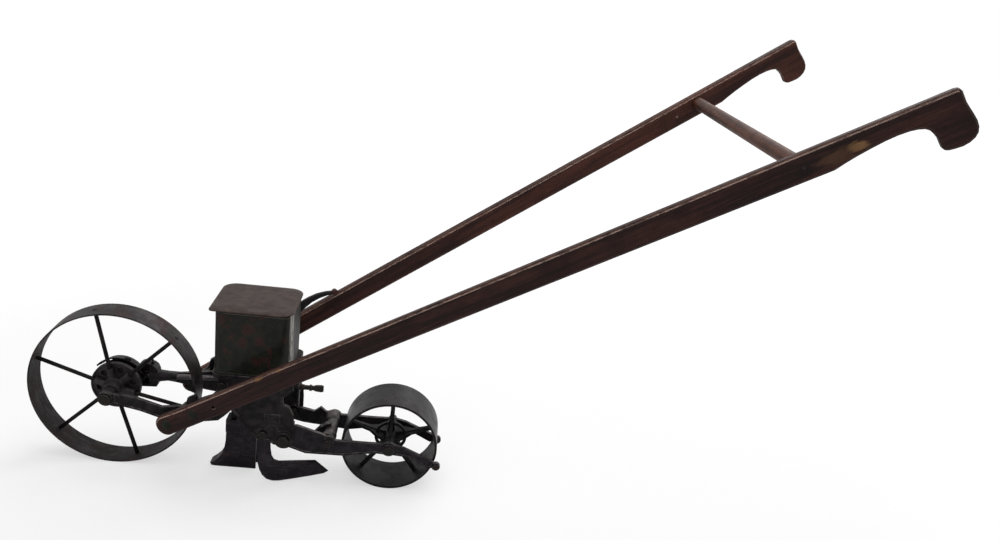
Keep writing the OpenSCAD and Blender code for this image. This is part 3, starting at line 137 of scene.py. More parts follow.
def finish(material, sockets, height, depth, normal=None):
    """Sets the shader's sockets, and bumps the surface by height, from 0 to 1, times depth in metres."""
    tree = material.node_tree
    shader = tree.nodes["Principled BSDF"]
    bump = {"Height": height, "Distance": depth, "Strength": 1.0}
    if normal:
        bump["Normal"] = normal
    sockets = dict(sockets, Normal=height.node("Bump", {}, bump))
    dull = 0.15
    shader.inputs["Specular IOR Level"].default_value = dull
    for name, given in sockets.items():
        if isinstance(given, Value):
            tree.links.new(given.socket, shader.inputs[name])
        else:
            shader.inputs[name].default_value = given


def cast_iron(name, skin, high_skin, rust, worn, gloss, top_dust_and_light=0.0):
    """The last argument, from 0 to 1, is how much pale dust and wear lies on what faces up, with painted
    light from above on those faces too.
    """
    material, place = start_material(name)
    rounded, edge = softened(place, 0.0015)
    cloud = noise(place, 55, 5, 0.62)
    grit = noise(place, 1500, 3, 0.6)
    pits = rise(noise(place, 420, 4, 0.6), 0.56, 0.70)
    rusty = rise(noise(place, 38, 7, 0.68, shift=(3, 1, 2)) + edge * 0.04, 0.55, 0.70)
    rubbed = rise(edge, 0.02, 0.16) * rise(noise(place, 110, 4, 0.6, shift=(1, 5, 2)), 0.42, 0.62)
    upward = dot(rounded, (0, 0, 1))
    # Pale dust on what faces up, with painted light from above on the same faces.
    dust_and_top_light = rise(upward, 0.2, 0.75) * rise(noise(place, 85, 5, 0.66, shift=(4, 4, 1)), 0.34, 0.62)
    dust_and_light_tone, pit_tone = tone(98, 91, 89), tone(16, 14, 15)
    colour = mix(rise(cloud, 0.35, 0.68), skin, high_skin)
    colour = mix(dust_and_top_light * top_dust_and_light, colour, dust_and_light_tone)
    colour = mix(rusty * 0.55, colour, rust)
    colour = mix(pits * 0.5, colour, pit_tone)
    colour = mix(rubbed * 0.7, colour, worn)
    sockets = {
        "Base Color": colour,
        "Roughness": gloss + 0.22 * grit * (1 - rubbed) + 0.18 * rusty - 0.12 * rubbed,
        "Metallic": 0.25 + 0.55 * rubbed,
    }
    finish(material, sockets, 0.55 * grit + 0.9 * cloud - 0.6 * pits, 0.00035, rounded)
    return material


def dress(material, *names):
    """Gives a material to whole CAD nodes."""
    for name in names:
        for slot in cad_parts[name].material_slots:
            slot.material = material


# The frames carry some pale dust and painted light from above on what faces up.
frame_iron = cast_iron(
    "frame_iron", skin=tone(15, 13, 15), high_skin=tone(41, 37, 39), rust=tone(62, 44, 40),
    worn=tone(118, 110, 110), gloss=0.36, top_dust_and_light=0.35,
)
dress(frame_iron, "left_side_frame", "right_side_frame", "hopper_base", "lever_stud")


# FRONT WHEEL RIM AND SPOKES
# A flat band of hot-rolled steel bent to a hoop. Six round spokes are cast into the hub and riveted
# through the band, where the soil has polished them flush.

def rolled_band(name, centre, inner_r, inner_darkening, gloss, skin, bare, rust):
    """Rolled steel or smooth iron round an axle at centre, darker on the inside, which is within inner_r."""
    material, place = start_material(name)
    rounded, edge = softened(place, 0.0009)
    from_axle = place.node(
        "VectorMath", {"operation": "MULTIPLY_ADD"}, {0: place, 1: (1, 0, 1), 2: (-centre[0], 0, -centre[1])}
    )
    away = from_axle.node("VectorMath", {"operation": "LENGTH"}, {0: from_axle}, output="Value")
    inside = 1 - rise(away, inner_r, inner_r + 0.001)
    across = noise(place, 1, 5, 0.7, stretch=(9, 520, 9))
    cloud = noise(place, 30, 7, 0.66)
    fine = noise(place, 900, 3, 0.6)
    stain = rise(noise(place, 26, 7, 0.7, shift=(2, 6, 1)), 0.46, 0.62)
    speck = rise(noise(place, 330, 4, 0.65, shift=(6, 1, 1)), 0.66, 0.72)
    rubbed = rise(edge, 0.03, 0.2) * rise(noise(place, 90, 4), 0.38, 0.6)
    polish = rise(across * 0.35 + cloud * 0.4 + noise(place, 9, 3, 0.5, shift=(1, 2, 6)) * 0.25, 0.45, 0.58)
    inner_dark_tone, rubbed_tone, speck_tone = tone(15, 13, 16), tone(128, 122, 122), tone(150, 142, 138)
    colour = mix(polish, skin, bare)
    colour = mix(stain * 0.6, colour, rust)
    # The inside of the band is darkened by the given share.
    colour = mix(inside * inner_darkening, colour, inner_dark_tone)
    colour = mix(rubbed * 0.6, colour, rubbed_tone)
    colour = mix(speck * 0.7 * (1 - inside), colour, speck_tone)
    sockets = {
        "Base Color": colour,
        "Roughness": gloss + 0.20 * cloud + 0.14 * stain - 0.10 * rubbed + 0.15 * inside,
        "Metallic": (0.25 + 0.3 * polish) * (1 - 0.7 * inside),
    }
    finish(material, sockets, 0.5 * across + 0.3 * fine + 0.7 * cloud, 0.00026, rounded)
    return material


rim_low, rim_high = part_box("front_rim")
front_x = (rim_low.x + rim_high.x) / 2
front_r = (rim_high.z - rim_low.z) / 2
band_t = 0.003
rim_steel = rolled_band(
    "rim_steel", centre=(front_x, front_r), inner_r=front_r - band_t, inner_darkening=0.45, gloss=0.40,
    skin=tone(17, 15, 18), bare=tone(71, 65, 66), rust=tone(60, 45, 42),
)
dress(rim_steel, "front_rim")


def drawn_rod(name, skin, bare):
    """Round rod pulled through a die, then blackened."""
    material, place = start_material(name)
    cloud = noise(place, 48, 5, 0.6)
    fine = noise(place, 700, 4, 0.6)
    stain = rise(noise(place, 70, 6, 0.7, shift=(4, 2, 1)), 0.52, 0.68)
    stain_tone = tone(48, 35, 30)
    colour = mix(rise(cloud, 0.4, 0.66), skin, bare)
    colour = mix(stain * 0.5, colour, stain_tone)
    sockets = {"Base Color": colour, "Roughness": 0.40 + 0.22 * fine + 0.1 * stain, "Metallic": 0.45}
    finish(material, sockets, 0.5 * fine + 0.8 * cloud, 0.00025)
    return material


spoke_steel = drawn_rod("spoke_steel", skin=tone(14, 12, 15), bare=tone(31, 27, 29))
dress(spoke_steel, "front_spokes")


def place_piece(name, shape, material, body, slot, *replaced, sharp=35):
    """Makes a shape into a piece that rides on a body and stands for the CAD nodes named last."""
    mesh = bpy.data.meshes.new(name)
    shape.to_mesh(mesh)
    shape.free()
    mesh.shade_smooth()
    mesh.set_sharp_from_angle(angle=math.radians(sharp))
    mesh.materials.append(material)
    piece = bpy.data.objects.new(name, mesh)
    bpy.context.scene.collection.objects.link(piece)
    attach(piece, body)
    if replaced:
        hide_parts(*replaced)
    return piece


spoke_count = 6
first_spoke = math.radians(14)
rivet_r, rivet_flatness, rivet_sunk = 0.0048, 0.3, 0.0004
rivets = bmesh.new()
for spoke in range(spoke_count):
    turn = Matrix.Rotation(spoke * math.tau / spoke_count - first_spoke, 4, "Y")
    head = bmesh.ops.create_uvsphere(rivets, u_segments=16, v_segments=8, radius=rivet_r)["verts"]
    bmesh.ops.scale(rivets, verts=head, vec=(1, 1, rivet_flatness))
    bmesh.ops.translate(rivets, verts=head, vec=(0, 0, front_r - rivet_sunk))
    bmesh.ops.transform(rivets, verts=head, matrix=Matrix.Translation((front_x, 0, front_r)) @ turn)
place_piece("rim_rivets", rivets, spoke_steel, "front_wheel", "worn_steel")


# HUB, CROWN GEARS, PINIONS AND GUARD
# Chilled iron castings on the axle and the shaft. The teeth are polished by running, and grease holds
# black dirt between them. A thin web closes the back of the hub's pockets.

hub_iron = cast_iron(
    "hub_iron", skin=tone(22, 20, 23), high_skin=tone(44, 40, 43), rust=tone(50, 36, 32),
    worn=tone(92, 87, 88), gloss=0.38,
)
dress(hub_iron, "front_bearing", "rear_bearing", "axle_spacers")
guard_iron = cast_iron(
    "guard_iron", skin=tone(9, 8, 10), high_skin=tone(24, 21, 24), rust=tone(36, 27, 25),
    worn=tone(84, 78, 79), gloss=0.42,
)
dress(guard_iron, "gear_guard")
disc_iron = cast_iron(
    "disc_iron", skin=tone(44, 40, 43), high_skin=tone(66, 60, 63), rust=tone(60, 44, 40),
    worn=tone(92, 86, 87), gloss=0.36,
)
dress(disc_iron, "front_hub")
gear_iron = cast_iron(
    "gear_iron", skin=tone(20, 18, 20), high_skin=tone(38, 35, 37), rust=tone(48, 35, 29),
    worn=tone(110, 105, 105), gloss=0.34,
)
dress(gear_iron, "crown_gear", "front_pinion", "rear_pinion", "agitator_gear")

web_back, web_t, web_r = 0.003, 0.001, 0.040
web = bmesh.new()
bmesh.ops.create_cone(web, cap_ends=True, segments=48, radius1=web_r, radius2=web_r, depth=web_t)
bmesh.ops.rotate(web, verts=web.verts, matrix=Matrix.Rotation(math.pi / 2, 3, "X"))
bmesh.ops.translate(web, verts=web.verts, vec=(front_x, web_back + web_t / 2, front_r))
place_piece("hub_web", web, disc_iron, "front_wheel", "cast_iron")


# DRIVE SHAFT, AGITATOR AND THEIR PINS
# Round steel bar, turned where it runs in its bearings, with pins driven through it and the gears.
# Use keeps it bright, and old oil darkens it near the bearings.

def turned_bar(name, bright, dark):
    """Steel with fine rings from the lathe."""
    material, place = start_material(name)
    rings = noise(place, 1, 3, 0.6, stretch=(600, 30, 30))
    cloud = noise(place, 42, 5, 0.62)
    oily = rise(noise(place, 26, 5, 0.6, shift=(1, 1, 4)), 0.44, 0.62)
    colour = mix(oily, bright, dark)
    sockets = {"Base Color": colour, "Roughness": 0.30 + 0.2 * cloud + 0.08 * rings, "Metallic": 0.7}
    finish(material, sockets, 0.4 * rings + 0.5 * cloud, 0.00012)
    return material


shaft_steel = turned_bar("shaft_steel", bright=tone(92, 87, 90), dark=tone(44, 40, 42))
dress(shaft_steel, "drive_shaft", "agitator_shaft", "pinion_pins")


# AXLES, BOLTS, NUTS AND SCREWS
# Square and hexagon fasteners of mild steel that hold the castings and handles together. They are
# blackened and rusted, with corners rounded by the spanner.

def old_fastener(name, skin, bare, rust):
    """Blackened steel with worn corners."""
    material, place = start_material(name)
    rounded, edge = softened(place, 0.0007)
    cloud = noise(place, 130, 5, 0.6)
    fine = noise(place, 1300, 3, 0.6)
    rusty = rise(noise(place, 95, 6, 0.7, shift=(2, 3, 5)), 0.46, 0.64)
    rubbed = rise(edge, 0.03, 0.2)
    rubbed_tone = tone(132, 126, 124)
    colour = mix(cloud, skin, bare)
    colour = mix(rusty * 0.6, colour, rust)
    colour = mix(rubbed * 0.6, colour, rubbed_tone)
    sockets = {
        "Base Color": colour,
        "Roughness": 0.42 + 0.25 * rusty - 0.1 * rubbed,
        "Metallic": 0.4 + 0.4 * rubbed,
    }
    finish(material, sockets, fine + cloud, 0.0002, rounded)
    return material


black_bolt = old_fastener("black_bolt", skin=tone(20, 19, 20), bare=tone(40, 39, 38), rust=tone(50, 37, 31))
dress(
    black_bolt, "front_axle", "front_axle_nut", "crown_screws", "base_bolts", "base_nuts", "hopper_screws",
    "spout_screws", "opener_rivets", "opener_set_screw", "coverer_bolt", "coverer_nut", "tie_bolt",
    "tie_nut", "pivot_bolts", "arm_end_bolts", "rear_axle", "rear_axle_nut", "crosspiece_nails",
    "thumb_screw", "oil_cup",
)
handle_bolt_steel = old_fastener(
    "handle_bolt_steel", skin=tone(13, 17, 14), bare=tone(30, 35, 29), rust=tone(42, 33, 26)
)
dress(handle_bolt_steel, "handle_bolts", "handle_nuts")


# FEED: SEED PLATE, GATE, LINK, STRIP AND SPOUT
# Strip and plate steel screwed under the hopper. The seed and the sliding gate rub the plate bright,
# and the strip, link and spout outside it have the frames' dark skin.

feed_steel = turned_bar("feed_steel", bright=tone(112, 108, 104), dark=tone(60, 55, 52))
dress(feed_steel, "seed_plate", "feed_gate")
dress(frame_iron, "gate_link", "gate_strip", "seed_spout")


# SHUT-OFF LEVER
# A forged flat bar on a stud, drawn out to a curved arm with a round knob. It is black from the fire,
# worn on its edges and red with rust at the knob. The arm's fuller body is a sleeve over the solid one.

def flat_blank(outline, near_y, thickness):
    """A flat plate with this outline in x and z, which fills thickness from near_y on."""
    shape = bmesh.new()
    side = shape.faces.new([shape.verts.new((x, near_y, z)) for x, z in outline])
    grown = bmesh.ops.extrude_face_region(shape, geom=[side])["geom"]
    far_side = [part for part in grown if isinstance(part, bmesh.types.BMVert)]
    bmesh.ops.translate(shape, verts=far_side, vec=(0, thickness, 0))
    bmesh.ops.recalc_face_normals(shape, faces=shape.faces)
    return shape


def reddened(iron, name, centre, reach, rust):
    """A copy of an iron finish that is red with rust within reach of a point."""
    material = iron.copy()
    material.name = name
    tree = material.node_tree
    shader = tree.nodes["Principled BSDF"]
    under = Value(shader.inputs["Base Color"].links[0].from_socket)
    place = Value(tree.nodes["Texture Coordinate"].outputs["Object"])
    away = place.node("VectorMath", {"operation": "DISTANCE"}, {0: place, 1: centre}, output="Value")
    ragged = away + 0.004 * noise(place, 160, 4, 0.6)
    near = 1 - rise(ragged, reach, reach + 0.004)
    tree.links.new(mix(near * 0.85, under, rust).socket, shader.inputs["Base Color"])
    return material


arm_under = [
    (-0.001, 0.2985), (0.0105, 0.3095), (0.0245, 0.3198), (0.0405, 0.3266), (0.056, 0.3302), (0.070, 0.3308),
]
arm_over = [
    (0.070, 0.3380), (0.054, 0.3384), (0.0355, 0.3361), (0.0190, 0.3308), (0.0070, 0.3254), (-0.001, 0.3195),
]
arm_back, arm_y = 0.322, 0.0706
arm_root = Vector((front_x + arm_back, arm_y, 0))
arm_turn = Matrix.Rotation(math.radians(32.5), 3, "Z")
arm_t, arm_proud, arm_rounding = 0.005, 0.0007, 0.0012
arm = flat_blank(arm_under + arm_over, -arm_proud, arm_t + 2 * arm_proud)
bmesh.ops.bevel(
    arm, geom=arm.edges[:], offset=arm_rounding, segments=2, profile=0.5, affect="EDGES", material=-1
)
bmesh.ops.rotate(arm, verts=arm.verts, matrix=arm_turn)
bmesh.ops.translate(arm, verts=arm.verts, vec=arm_root)

knob_reach, knob_height = 0.073, 0.3345
knob = arm_root + arm_turn @ Vector((knob_reach, arm_t / 2, knob_height))
forged_black = cast_iron(
    "forged_black", skin=tone(10, 9, 11), high_skin=tone(28, 25, 28), rust=tone(44, 32, 30),
    worn=tone(96, 90, 91), gloss=0.40,
)
lever_iron = reddened(forged_black, "lever_iron", knob, reach=0.008, rust=tone(66, 38, 33))
dress(lever_iron, "shutoff_lever")
place_piece("lever_arm", arm, lever_iron, "lever", "cast_iron")


# OPENER SHOE AND COVERER
# A cast shoe with riveted wear plates on a square standard, and a blade forged from flat bar, which hangs
# by a bolt through its boss and turns in towards the row behind its shank. The soil keeps both smooth.

def soil_worn(name, skin, bare, gloss):
    """Iron that the soil has scoured in streaks."""
    material, place = start_material(name)
    rounded, edge = softened(place, 0.0013)
    streak = noise(place, 1, 5, 0.65, stretch=(60, 260, 420))
    cloud = noise(place, 46, 6, 0.64)
    fine = noise(place, 1100, 3, 0.6)
    rusty = rise(noise(place, 60, 7, 0.7, shift=(7, 1, 3)), 0.50, 0.66)
    rubbed = rise(edge, 0.02, 0.2)
    bright = rise(streak * 0.5 + cloud * 0.5, 0.46, 0.62)
    rust_tone, rubbed_tone = tone(62, 46, 42), tone(112, 106, 108)
    colour = mix(bright, skin, bare)
    colour = mix(rusty * 0.35, colour, rust_tone)
    colour = mix(rubbed * 0.6, colour, rubbed_tone)
    sockets = {
        "Base Color": colour,
        "Roughness": gloss + 0.22 * cloud + 0.14 * rusty - 0.08 * rubbed,
        "Metallic": 0.35 + 0.35 * bright,
    }
    finish(material, sockets, 0.6 * streak + 0.4 * fine + 0.9 * cloud, 0.0004, rounded)
    return material


def cut_across(shape, at, way):
    """Adds edges to a shape where the plane through the point at, which faces way, meets it."""
    whole = list(shape.verts) + list(shape.edges) + list(shape.faces)
    bmesh.ops.bisect_plane(shape, geom=whole, plane_co=at, plane_no=way)


def faces_where(shape, wanted):
    """The faces whose normal and middle pass a test."""
    return [face for face in shape.faces if wanted(face.normal, face.calc_center_median())]


blade_steel = soil_worn("blade_steel", skin=tone(29, 26, 30), bare=tone(56, 51, 56), gloss=0.34)
dress(blade_steel, "opener")
dress(frame_iron, "opener_standard")

plate_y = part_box("coverer")[0].y
plate_t, blade_rounding = 0.005, 0.0014
boss_x, boss_z, boss_r, boss_steps = 0.284, 0.107, 0.013, 14
boss_turns = [step * math.pi / boss_steps for step in range(boss_steps + 1)]
boss = [(boss_x + boss_r * math.cos(turn), boss_z + boss_r * math.sin(turn)) for turn in boss_turns]
shank_front = [(0.2735, 0.060), (0.275, 0.040), (0.2785, 0.026), (0.284, 0.0145), (0.292, 0.0065)]
sole = [(0.304, 0.0027), (0.318, 0.0018), (0.344, 0.0030), (0.376, 0.0050), (0.402, 0.0075), (0.411, 0.0120)]
foot_top = [(0.385, 0.0380), (0.350, 0.0415), (0.316, 0.0445)]
shank_back = [(0.306, 0.0485), (0.301, 0.0570), (0.2985, 0.0720)]
blade = flat_blank(boss + shank_front + sole + foot_top + shank_back, 0, plate_t)
rim_edges = [edge for edge in blade.edges if abs(edge.verts[0].co.y - edge.verts[1].co.y) < 1e-6]
bmesh.ops.bevel(
    blade, geom=rim_edges, offset=blade_rounding, segments=3, profile=0.5, affect="EDGES", material=-1
)

crease_at, crease_way = Vector((0.350, 0, 0.0300)), Vector((0.08, 0, 1))
shank_x, boss_foot = 0.2865, 0.095
cut_across(blade, crease_at, crease_way)
cut_across(blade, (shank_x, 0, 0), (1, 0, 0))


def on_raised_bar(normal, middle):
    """Whether a face on the near side is above the crease, below the boss and back from the front edge."""
    past_crease = (middle - crease_at).dot(crease_way) > 0
    return normal.y < -0.9 and middle.z < boss_foot and middle.x > shank_x and past_crease


bar_edge, bar_height = 0.0016, 0.0022
raised = faces_where(blade, on_raised_bar)
bmesh.ops.inset_region(blade, faces=raised, thickness=bar_edge, depth=bar_height, use_even_offset=True)

bend_start, bend_length, bend_turn, bend_steps = 0.290, 0.028, math.radians(19.5), 14
bend_r = bend_length / bend_turn
for cut in range(bend_steps + 1):
    cut_across(blade, (bend_start + cut * bend_length / bend_steps, 0, 0), (1, 0, 0))
for vert in blade.verts:
    past = vert.co.x - bend_start
    if past > 0:
        turn = bend_turn * min(past / bend_length, 1)
        beyond = max(past - bend_length, 0)
        across = vert.co.y
        vert.co.x = bend_start + bend_r * math.sin(turn) + beyond * math.cos(turn) - across * math.sin(turn)
        vert.co.y = bend_r * (1 - math.cos(turn)) + beyond * math.sin(turn) + across * math.cos(turn)
bmesh.ops.translate(blade, verts=blade.verts, vec=(front_x, plate_y, 0))
place_piece("coverer_blade", blade, blade_steel, "coverer", "worn_steel", "coverer", sharp=40)


# REAR FRAME AND REAR WHEEL
# Two cast arms, bolted to a round tie, hang from the side frames by their pivot bolts. They carry a heavy
# cast wheel whose broad rim presses the soil over the seed.

# The arms carry more pale dust and painted light from above on what faces up.
arm_iron = cast_iron(
    "arm_iron", skin=tone(18, 16, 19), high_skin=tone(42, 38, 42), rust=tone(54, 40, 38),
    worn=tone(116, 109, 110), gloss=0.33, top_dust_and_light=0.7,
)
dress(arm_iron, "left_rear_arm", "right_rear_arm", "cross_tie", "depth_hook")

wheel_low, wheel_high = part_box("rear_wheel")
wheel_x = (wheel_low.x + wheel_high.x) / 2
wheel_r = (wheel_high.z - wheel_low.z) / 2
wheel_rim_t = 0.0045
wheel_iron = rolled_band(
    "wheel_iron", centre=(wheel_x, wheel_r), inner_r=wheel_r - wheel_rim_t, inner_darkening=0.8, gloss=0.26,
    skin=tone(9, 8, 10), bare=tone(41, 37, 39), rust=tone(34, 29, 28),
)
dress(wheel_iron, "rear_wheel")


# HOPPER BOX AND THE SHEET INSIDE IT
# Folded sheet steel with a beaded rim and a flanged foot, screwed to the base and painted dark green. The
# paint is blotched and chipped, with faded patches of an older red. The back is darker, with pale streaks
# of painted reflection, and a highlight is painted on the bead under the lid.

box_low, box_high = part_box("hopper")
rim_bead = 0.0055


def old_paint(name, red_patches):
    """Green paint on sheet. Each red patch is a centre and how far it reaches."""
    material, place = start_material(name)
    rounded, edge = softened(place, 0.0014)
    cloud = noise(place, 75, 7, 0.66)
    blot = noise(place, 150, 5, 0.7, shift=(5, 2, 1))
    fine = noise(place, 900, 4, 0.6)
    old_red = rise(noise(place, 42, 5, 0.6, shift=(2.31, 4.1, 0.7)), 0.57, 0.68)
    chipped = rise(blot + edge * 0.5, 0.60, 0.70)
    runs = noise(place, 1, 4, 0.7, stretch=(90, 300, 14))
    length, width, height = [place.node("SeparateXYZ", {}, {"Vector": place}, output=axis) for axis in "XYZ"]
    # Painted reflections: pale upright streaks on the back face, stronger towards the near side.
    behind = rise(length, box_high.x - 0.0045, box_high.x - 0.0025)
    left_part = 1 - rise(width, box_low.y + 0.02, box_low.y + 0.07)
    painted_reflection = rise(runs + 0.09 * left_part, 0.54, 0.66) * behind * (0.25 + 0.75 * left_part)
    # A painted highlight: a pale broken line along the bead just under the lid.
    rim_foot = box_high.z - rim_bead
    above_foot = rise(height, rim_foot - 0.0002, rim_foot + 0.0002)
    below_bead = 1 - rise(height, rim_foot + 0.0007, rim_foot + 0.0012)
    bead_highlight = above_foot * below_bead * rise(noise(place, 24, 5, 0.7, shift=(1, 1, 8)), 0.38, 0.52)
    # The back face is made near black and rougher, without the coat.
    darker_back = rise(length, box_high.x - 0.006, box_high.x - 0.002)
    rubbed = rise(edge, 0.04, 0.25) * rise(noise(place, 110, 4), 0.36, 0.6)
    colour = mix(rise(cloud, 0.36, 0.66), tone(13, 15, 10), tone(27, 30, 21))
    for centre, reach in red_patches:
        away = place.node("VectorMath", {"operation": "DISTANCE"}, {0: place, 1: centre}, output="Value")
        ragged = away + 0.05 * noise(place, 70, 6, 0.7, shift=(2, 1, 1)) - 0.025
        old_red = old_red.math("MAXIMUM", old_red, 1 - rise(ragged, reach * 0.4, reach))
    red_tone, chip_tone, rubbed_tone = tone(54, 24, 21), tone(32, 26, 20), tone(104, 98, 90)
    darker_back_tone, reflection_tone, highlight_line_tone = tone(8, 9, 7), tone(205, 201, 193), tone(140, 134, 126)
    colour = mix(old_red * 0.7, colour, red_tone)
    colour = mix(chipped * 0.6, colour, chip_tone)
    colour = mix(rubbed * 0.6, colour, rubbed_tone)
    colour = mix(darker_back * 0.7, colour, darker_back_tone)
    colour = mix(painted_reflection * 0.9, colour, reflection_tone)
    colour = mix(bead_highlight * 0.5, colour, highlight_line_tone)
    sockets = {
        "Base Color": colour,
        "Roughness": 0.26 + 0.34 * blot + 0.16 * chipped + 0.12 * darker_back,
        "Metallic": 0.5 * rubbed,
        "Coat Weight": (0.09 - 0.09 * chipped) * (1 - darker_back),
    }
    finish(material, sockets, 0.35 * fine + 1.1 * cloud - 0.5 * chipped, 0.00045, rounded)
    return material


green_paint = old_paint("green_paint", [
    ((-0.322, -0.0645, 0.318), 0.014), ((-0.300, -0.0645, 0.298), 0.013), ((-0.330, -0.0645, 0.290), 0.010),
])

bead_stand, foot_stand, bead_edge = 0.0016, 0.0012, 0.0004
sheet_t, flange, corner_r = 0.002, 0.009, 0.015
box_middle = (box_low + box_high) / 2
box_size = box_high - box_low - Vector((2 * bead_stand, 2 * bead_stand, 0))
half_height = box_size.z / 2

box = bmesh.new()
bmesh.ops.create_cube(box, size=1)
bmesh.ops.scale(box, verts=box.verts, vec=box_size)
uprights = [edge for edge in box.edges if abs(edge.verts[0].co.z - edge.verts[1].co.z) > half_height]
bmesh.ops.bevel(box, geom=uprights, offset=corner_r, segments=8, profile=0.5, affect="EDGES", material=-1)
ends = [face for face in box.faces if abs(face.normal.z) > 0.9]
top_face = max(ends, key=lambda face: face.calc_center_median().z)
floor_face = min(ends, key=lambda face: face.calc_center_median().z)
bmesh.ops.inset_region(box, faces=[floor_face], thickness=flange + sheet_t, use_even_offset=True)
bmesh.ops.delete(box, geom=[top_face, floor_face], context="FACES_ONLY")

foot_height, rows, row_height = 0.003, 10, 0.0118
levels = [-half_height + foot_height + row * row_height for row in range(rows)]
levels += [half_height - rim_bead]
for level in levels:
    cut_across(box, (0, 0, level), (0, 0, 1))
half_columns = 4
for axis, reach in (((1, 0, 0), box_size.x / 2 - corner_r), ((0, 1, 0), box_size.y / 2 - corner_r)):
    for cut in range(-half_columns, half_columns + 1):
        cut_across(box, Vector(axis) * cut * reach / (half_columns + 0.5), axis)

dent_depth, dents_per_m, dent_place, dent_inwards = 0.0007, 22, Vector((3.1, 0, 1.7)), 0.25
dent_border, stiff_border, dent_fade = 0.006, 0.004, 0.02
box.normal_update()
free_sheet = [vert for vert in box.verts if abs(vert.co.z) < half_height - dent_border]
dented = [(vert, vert.normal.copy(), vert.co.copy()) for vert in free_sheet]
for vert, out, at in dented:
    share = min(1, (half_height - stiff_border - abs(at.z)) / dent_fade)
    hollow = dent_depth * share * (pattern.noise(at * dents_per_m + dent_place) - dent_inwards)
    vert.co += Vector((out.x, out.y, 0)) * hollow

for low, high, stand in ((-half_height, levels[0], foot_stand), (levels[-1], half_height, bead_stand)):
    band = faces_where(box, lambda normal, middle: abs(normal.z) < 0.5 and low < middle.z < high)
    bmesh.ops.inset_region(
        box, faces=band, thickness=bead_edge, depth=stand, use_even_offset=True, use_boundary=True
    )
seam_near, seam_far, seam_stand = -0.045, -0.034, 0.0007


def on_seam(normal, middle):
    """Whether a face is in the upright seam of the hopper's back."""
    return normal.x > 0.9 and levels[0] < middle.z < levels[-1] and seam_near < middle.y < seam_far


seam = faces_where(box, on_seam)
bmesh.ops.inset_region(box, faces=seam, thickness=bead_edge, depth=seam_stand, use_even_offset=True)
bmesh.ops.solidify(box, geom=box.faces, thickness=sheet_t)
bmesh.ops.recalc_face_normals(box, faces=box.faces)
bmesh.ops.translate(box, verts=box.verts, vec=box_middle)
place_piece("hopper_box", box, green_paint, "frame", "hopper_sheet", "hopper", sharp=50)

bare_sheet = turned_bar("bare_sheet", bright=tone(92, 88, 84), dark=tone(60, 55, 50))
dress(bare_sheet, "hopper_funnel")


# LID
# A loose pressed sheet with a rounded outline, and a shallow skirt that drops into the hopper. Its paint
# has gone and the steel has weathered to an even brown-grey, with dents and fine scratches.

def weathered_sheet(name):
    """Bare thin steel, browned and dented."""
    material, place = start_material(name)
    rounded, edge = softened(place, 0.0012)
    cloud = noise(place, 60, 7, 0.68)
    speck = noise(place, 620, 4, 0.66)
    scratch = noise(place, 1, 4, 0.7, stretch=(30, 900, 30))
    dents = noise(place, 26, 3, 0.5, shift=(1, 7, 2))
    spots = rise(noise(place, 210, 5, 0.6, shift=(4, 4, 1)), 0.60, 0.70)
    rubbed = rise(edge, 0.04, 0.25) * rise(noise(place, 90, 4), 0.34, 0.6)
    speck_tone, spot_tone, rubbed_tone = tone(92, 81, 77), tone(34, 26, 24), tone(60, 52, 49)
    colour = mix(rise(cloud, 0.34, 0.68), tone(42, 32, 29), tone(67, 55, 50))
    colour = mix(rise(speck, 0.5, 0.75) * 0.5, colour, speck_tone)
    colour = mix(spots * 0.6, colour, spot_tone)
    colour = mix(rubbed * 0.5, colour, rubbed_tone)
    sockets = {"Base Color": colour, "Roughness": 0.42 + 0.2 * cloud + 0.1 * speck, "Metallic": 0.3}
    finish(material, sockets, 2.3 * dents + 0.12 * scratch + 0.15 * speck, 0.0014, rounded)
    return material


lid_steel = weathered_sheet("lid_steel")
lid_low, lid_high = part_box("lid")
lid_top = lid_high.z
lid_middle = (lid_low + lid_high) / 2
lid_half = (lid_high - lid_low) / 2
lid_t, lid_sunk = 0.0018, 0.0004
wide_corner, tight_corner = 0.026, 0.008
crown_height, edge_drop, edge_width = 0.0013, 0.0012, 0.0022
dent_depth, dents_per_m, dent_layer, dent_fade = 0.0011, 26, 0.3, 0.02

cover = bmesh.new()
bmesh.ops.create_grid(cover, x_segments=44, y_segments=42, size=1)
for vert in cover.verts:
    x, y = vert.co.x * lid_half.x, vert.co.y * lid_half.y
    corner = tight_corner if x < 0 and y < 0 else wide_corner
    into = Vector((max(abs(x) - lid_half.x + corner, 0), max(abs(y) - lid_half.y + corner, 0)))
    if into.x > 0 and into.y > 0:
        pull = max(into) / into.length
        x = math.copysign(lid_half.x - corner + into.x * pull, x)
        y = math.copysign(lid_half.y - corner + into.y * pull, y)
        rim_gap = corner - max(into)
    else:
        rim_gap = min(lid_half.x - abs(x), lid_half.y - abs(y))
    crown = crown_height * (1 - max(abs(vert.co.x), abs(vert.co.y)) ** 2)
    turned_down = edge_drop * math.exp(-rim_gap / edge_width)
    dent = dent_depth * pattern.noise(Vector((x, y, dent_layer)) * dents_per_m) * min(rim_gap / dent_fade, 1)
    vert.co = (x, y, crown - turned_down + dent)
bmesh.ops.solidify(cover, geom=cover.faces, thickness=lid_t)
bmesh.ops.translate(cover, verts=cover.verts, vec=(lid_middle.x, lid_middle.y, lid_top - lid_sunk))

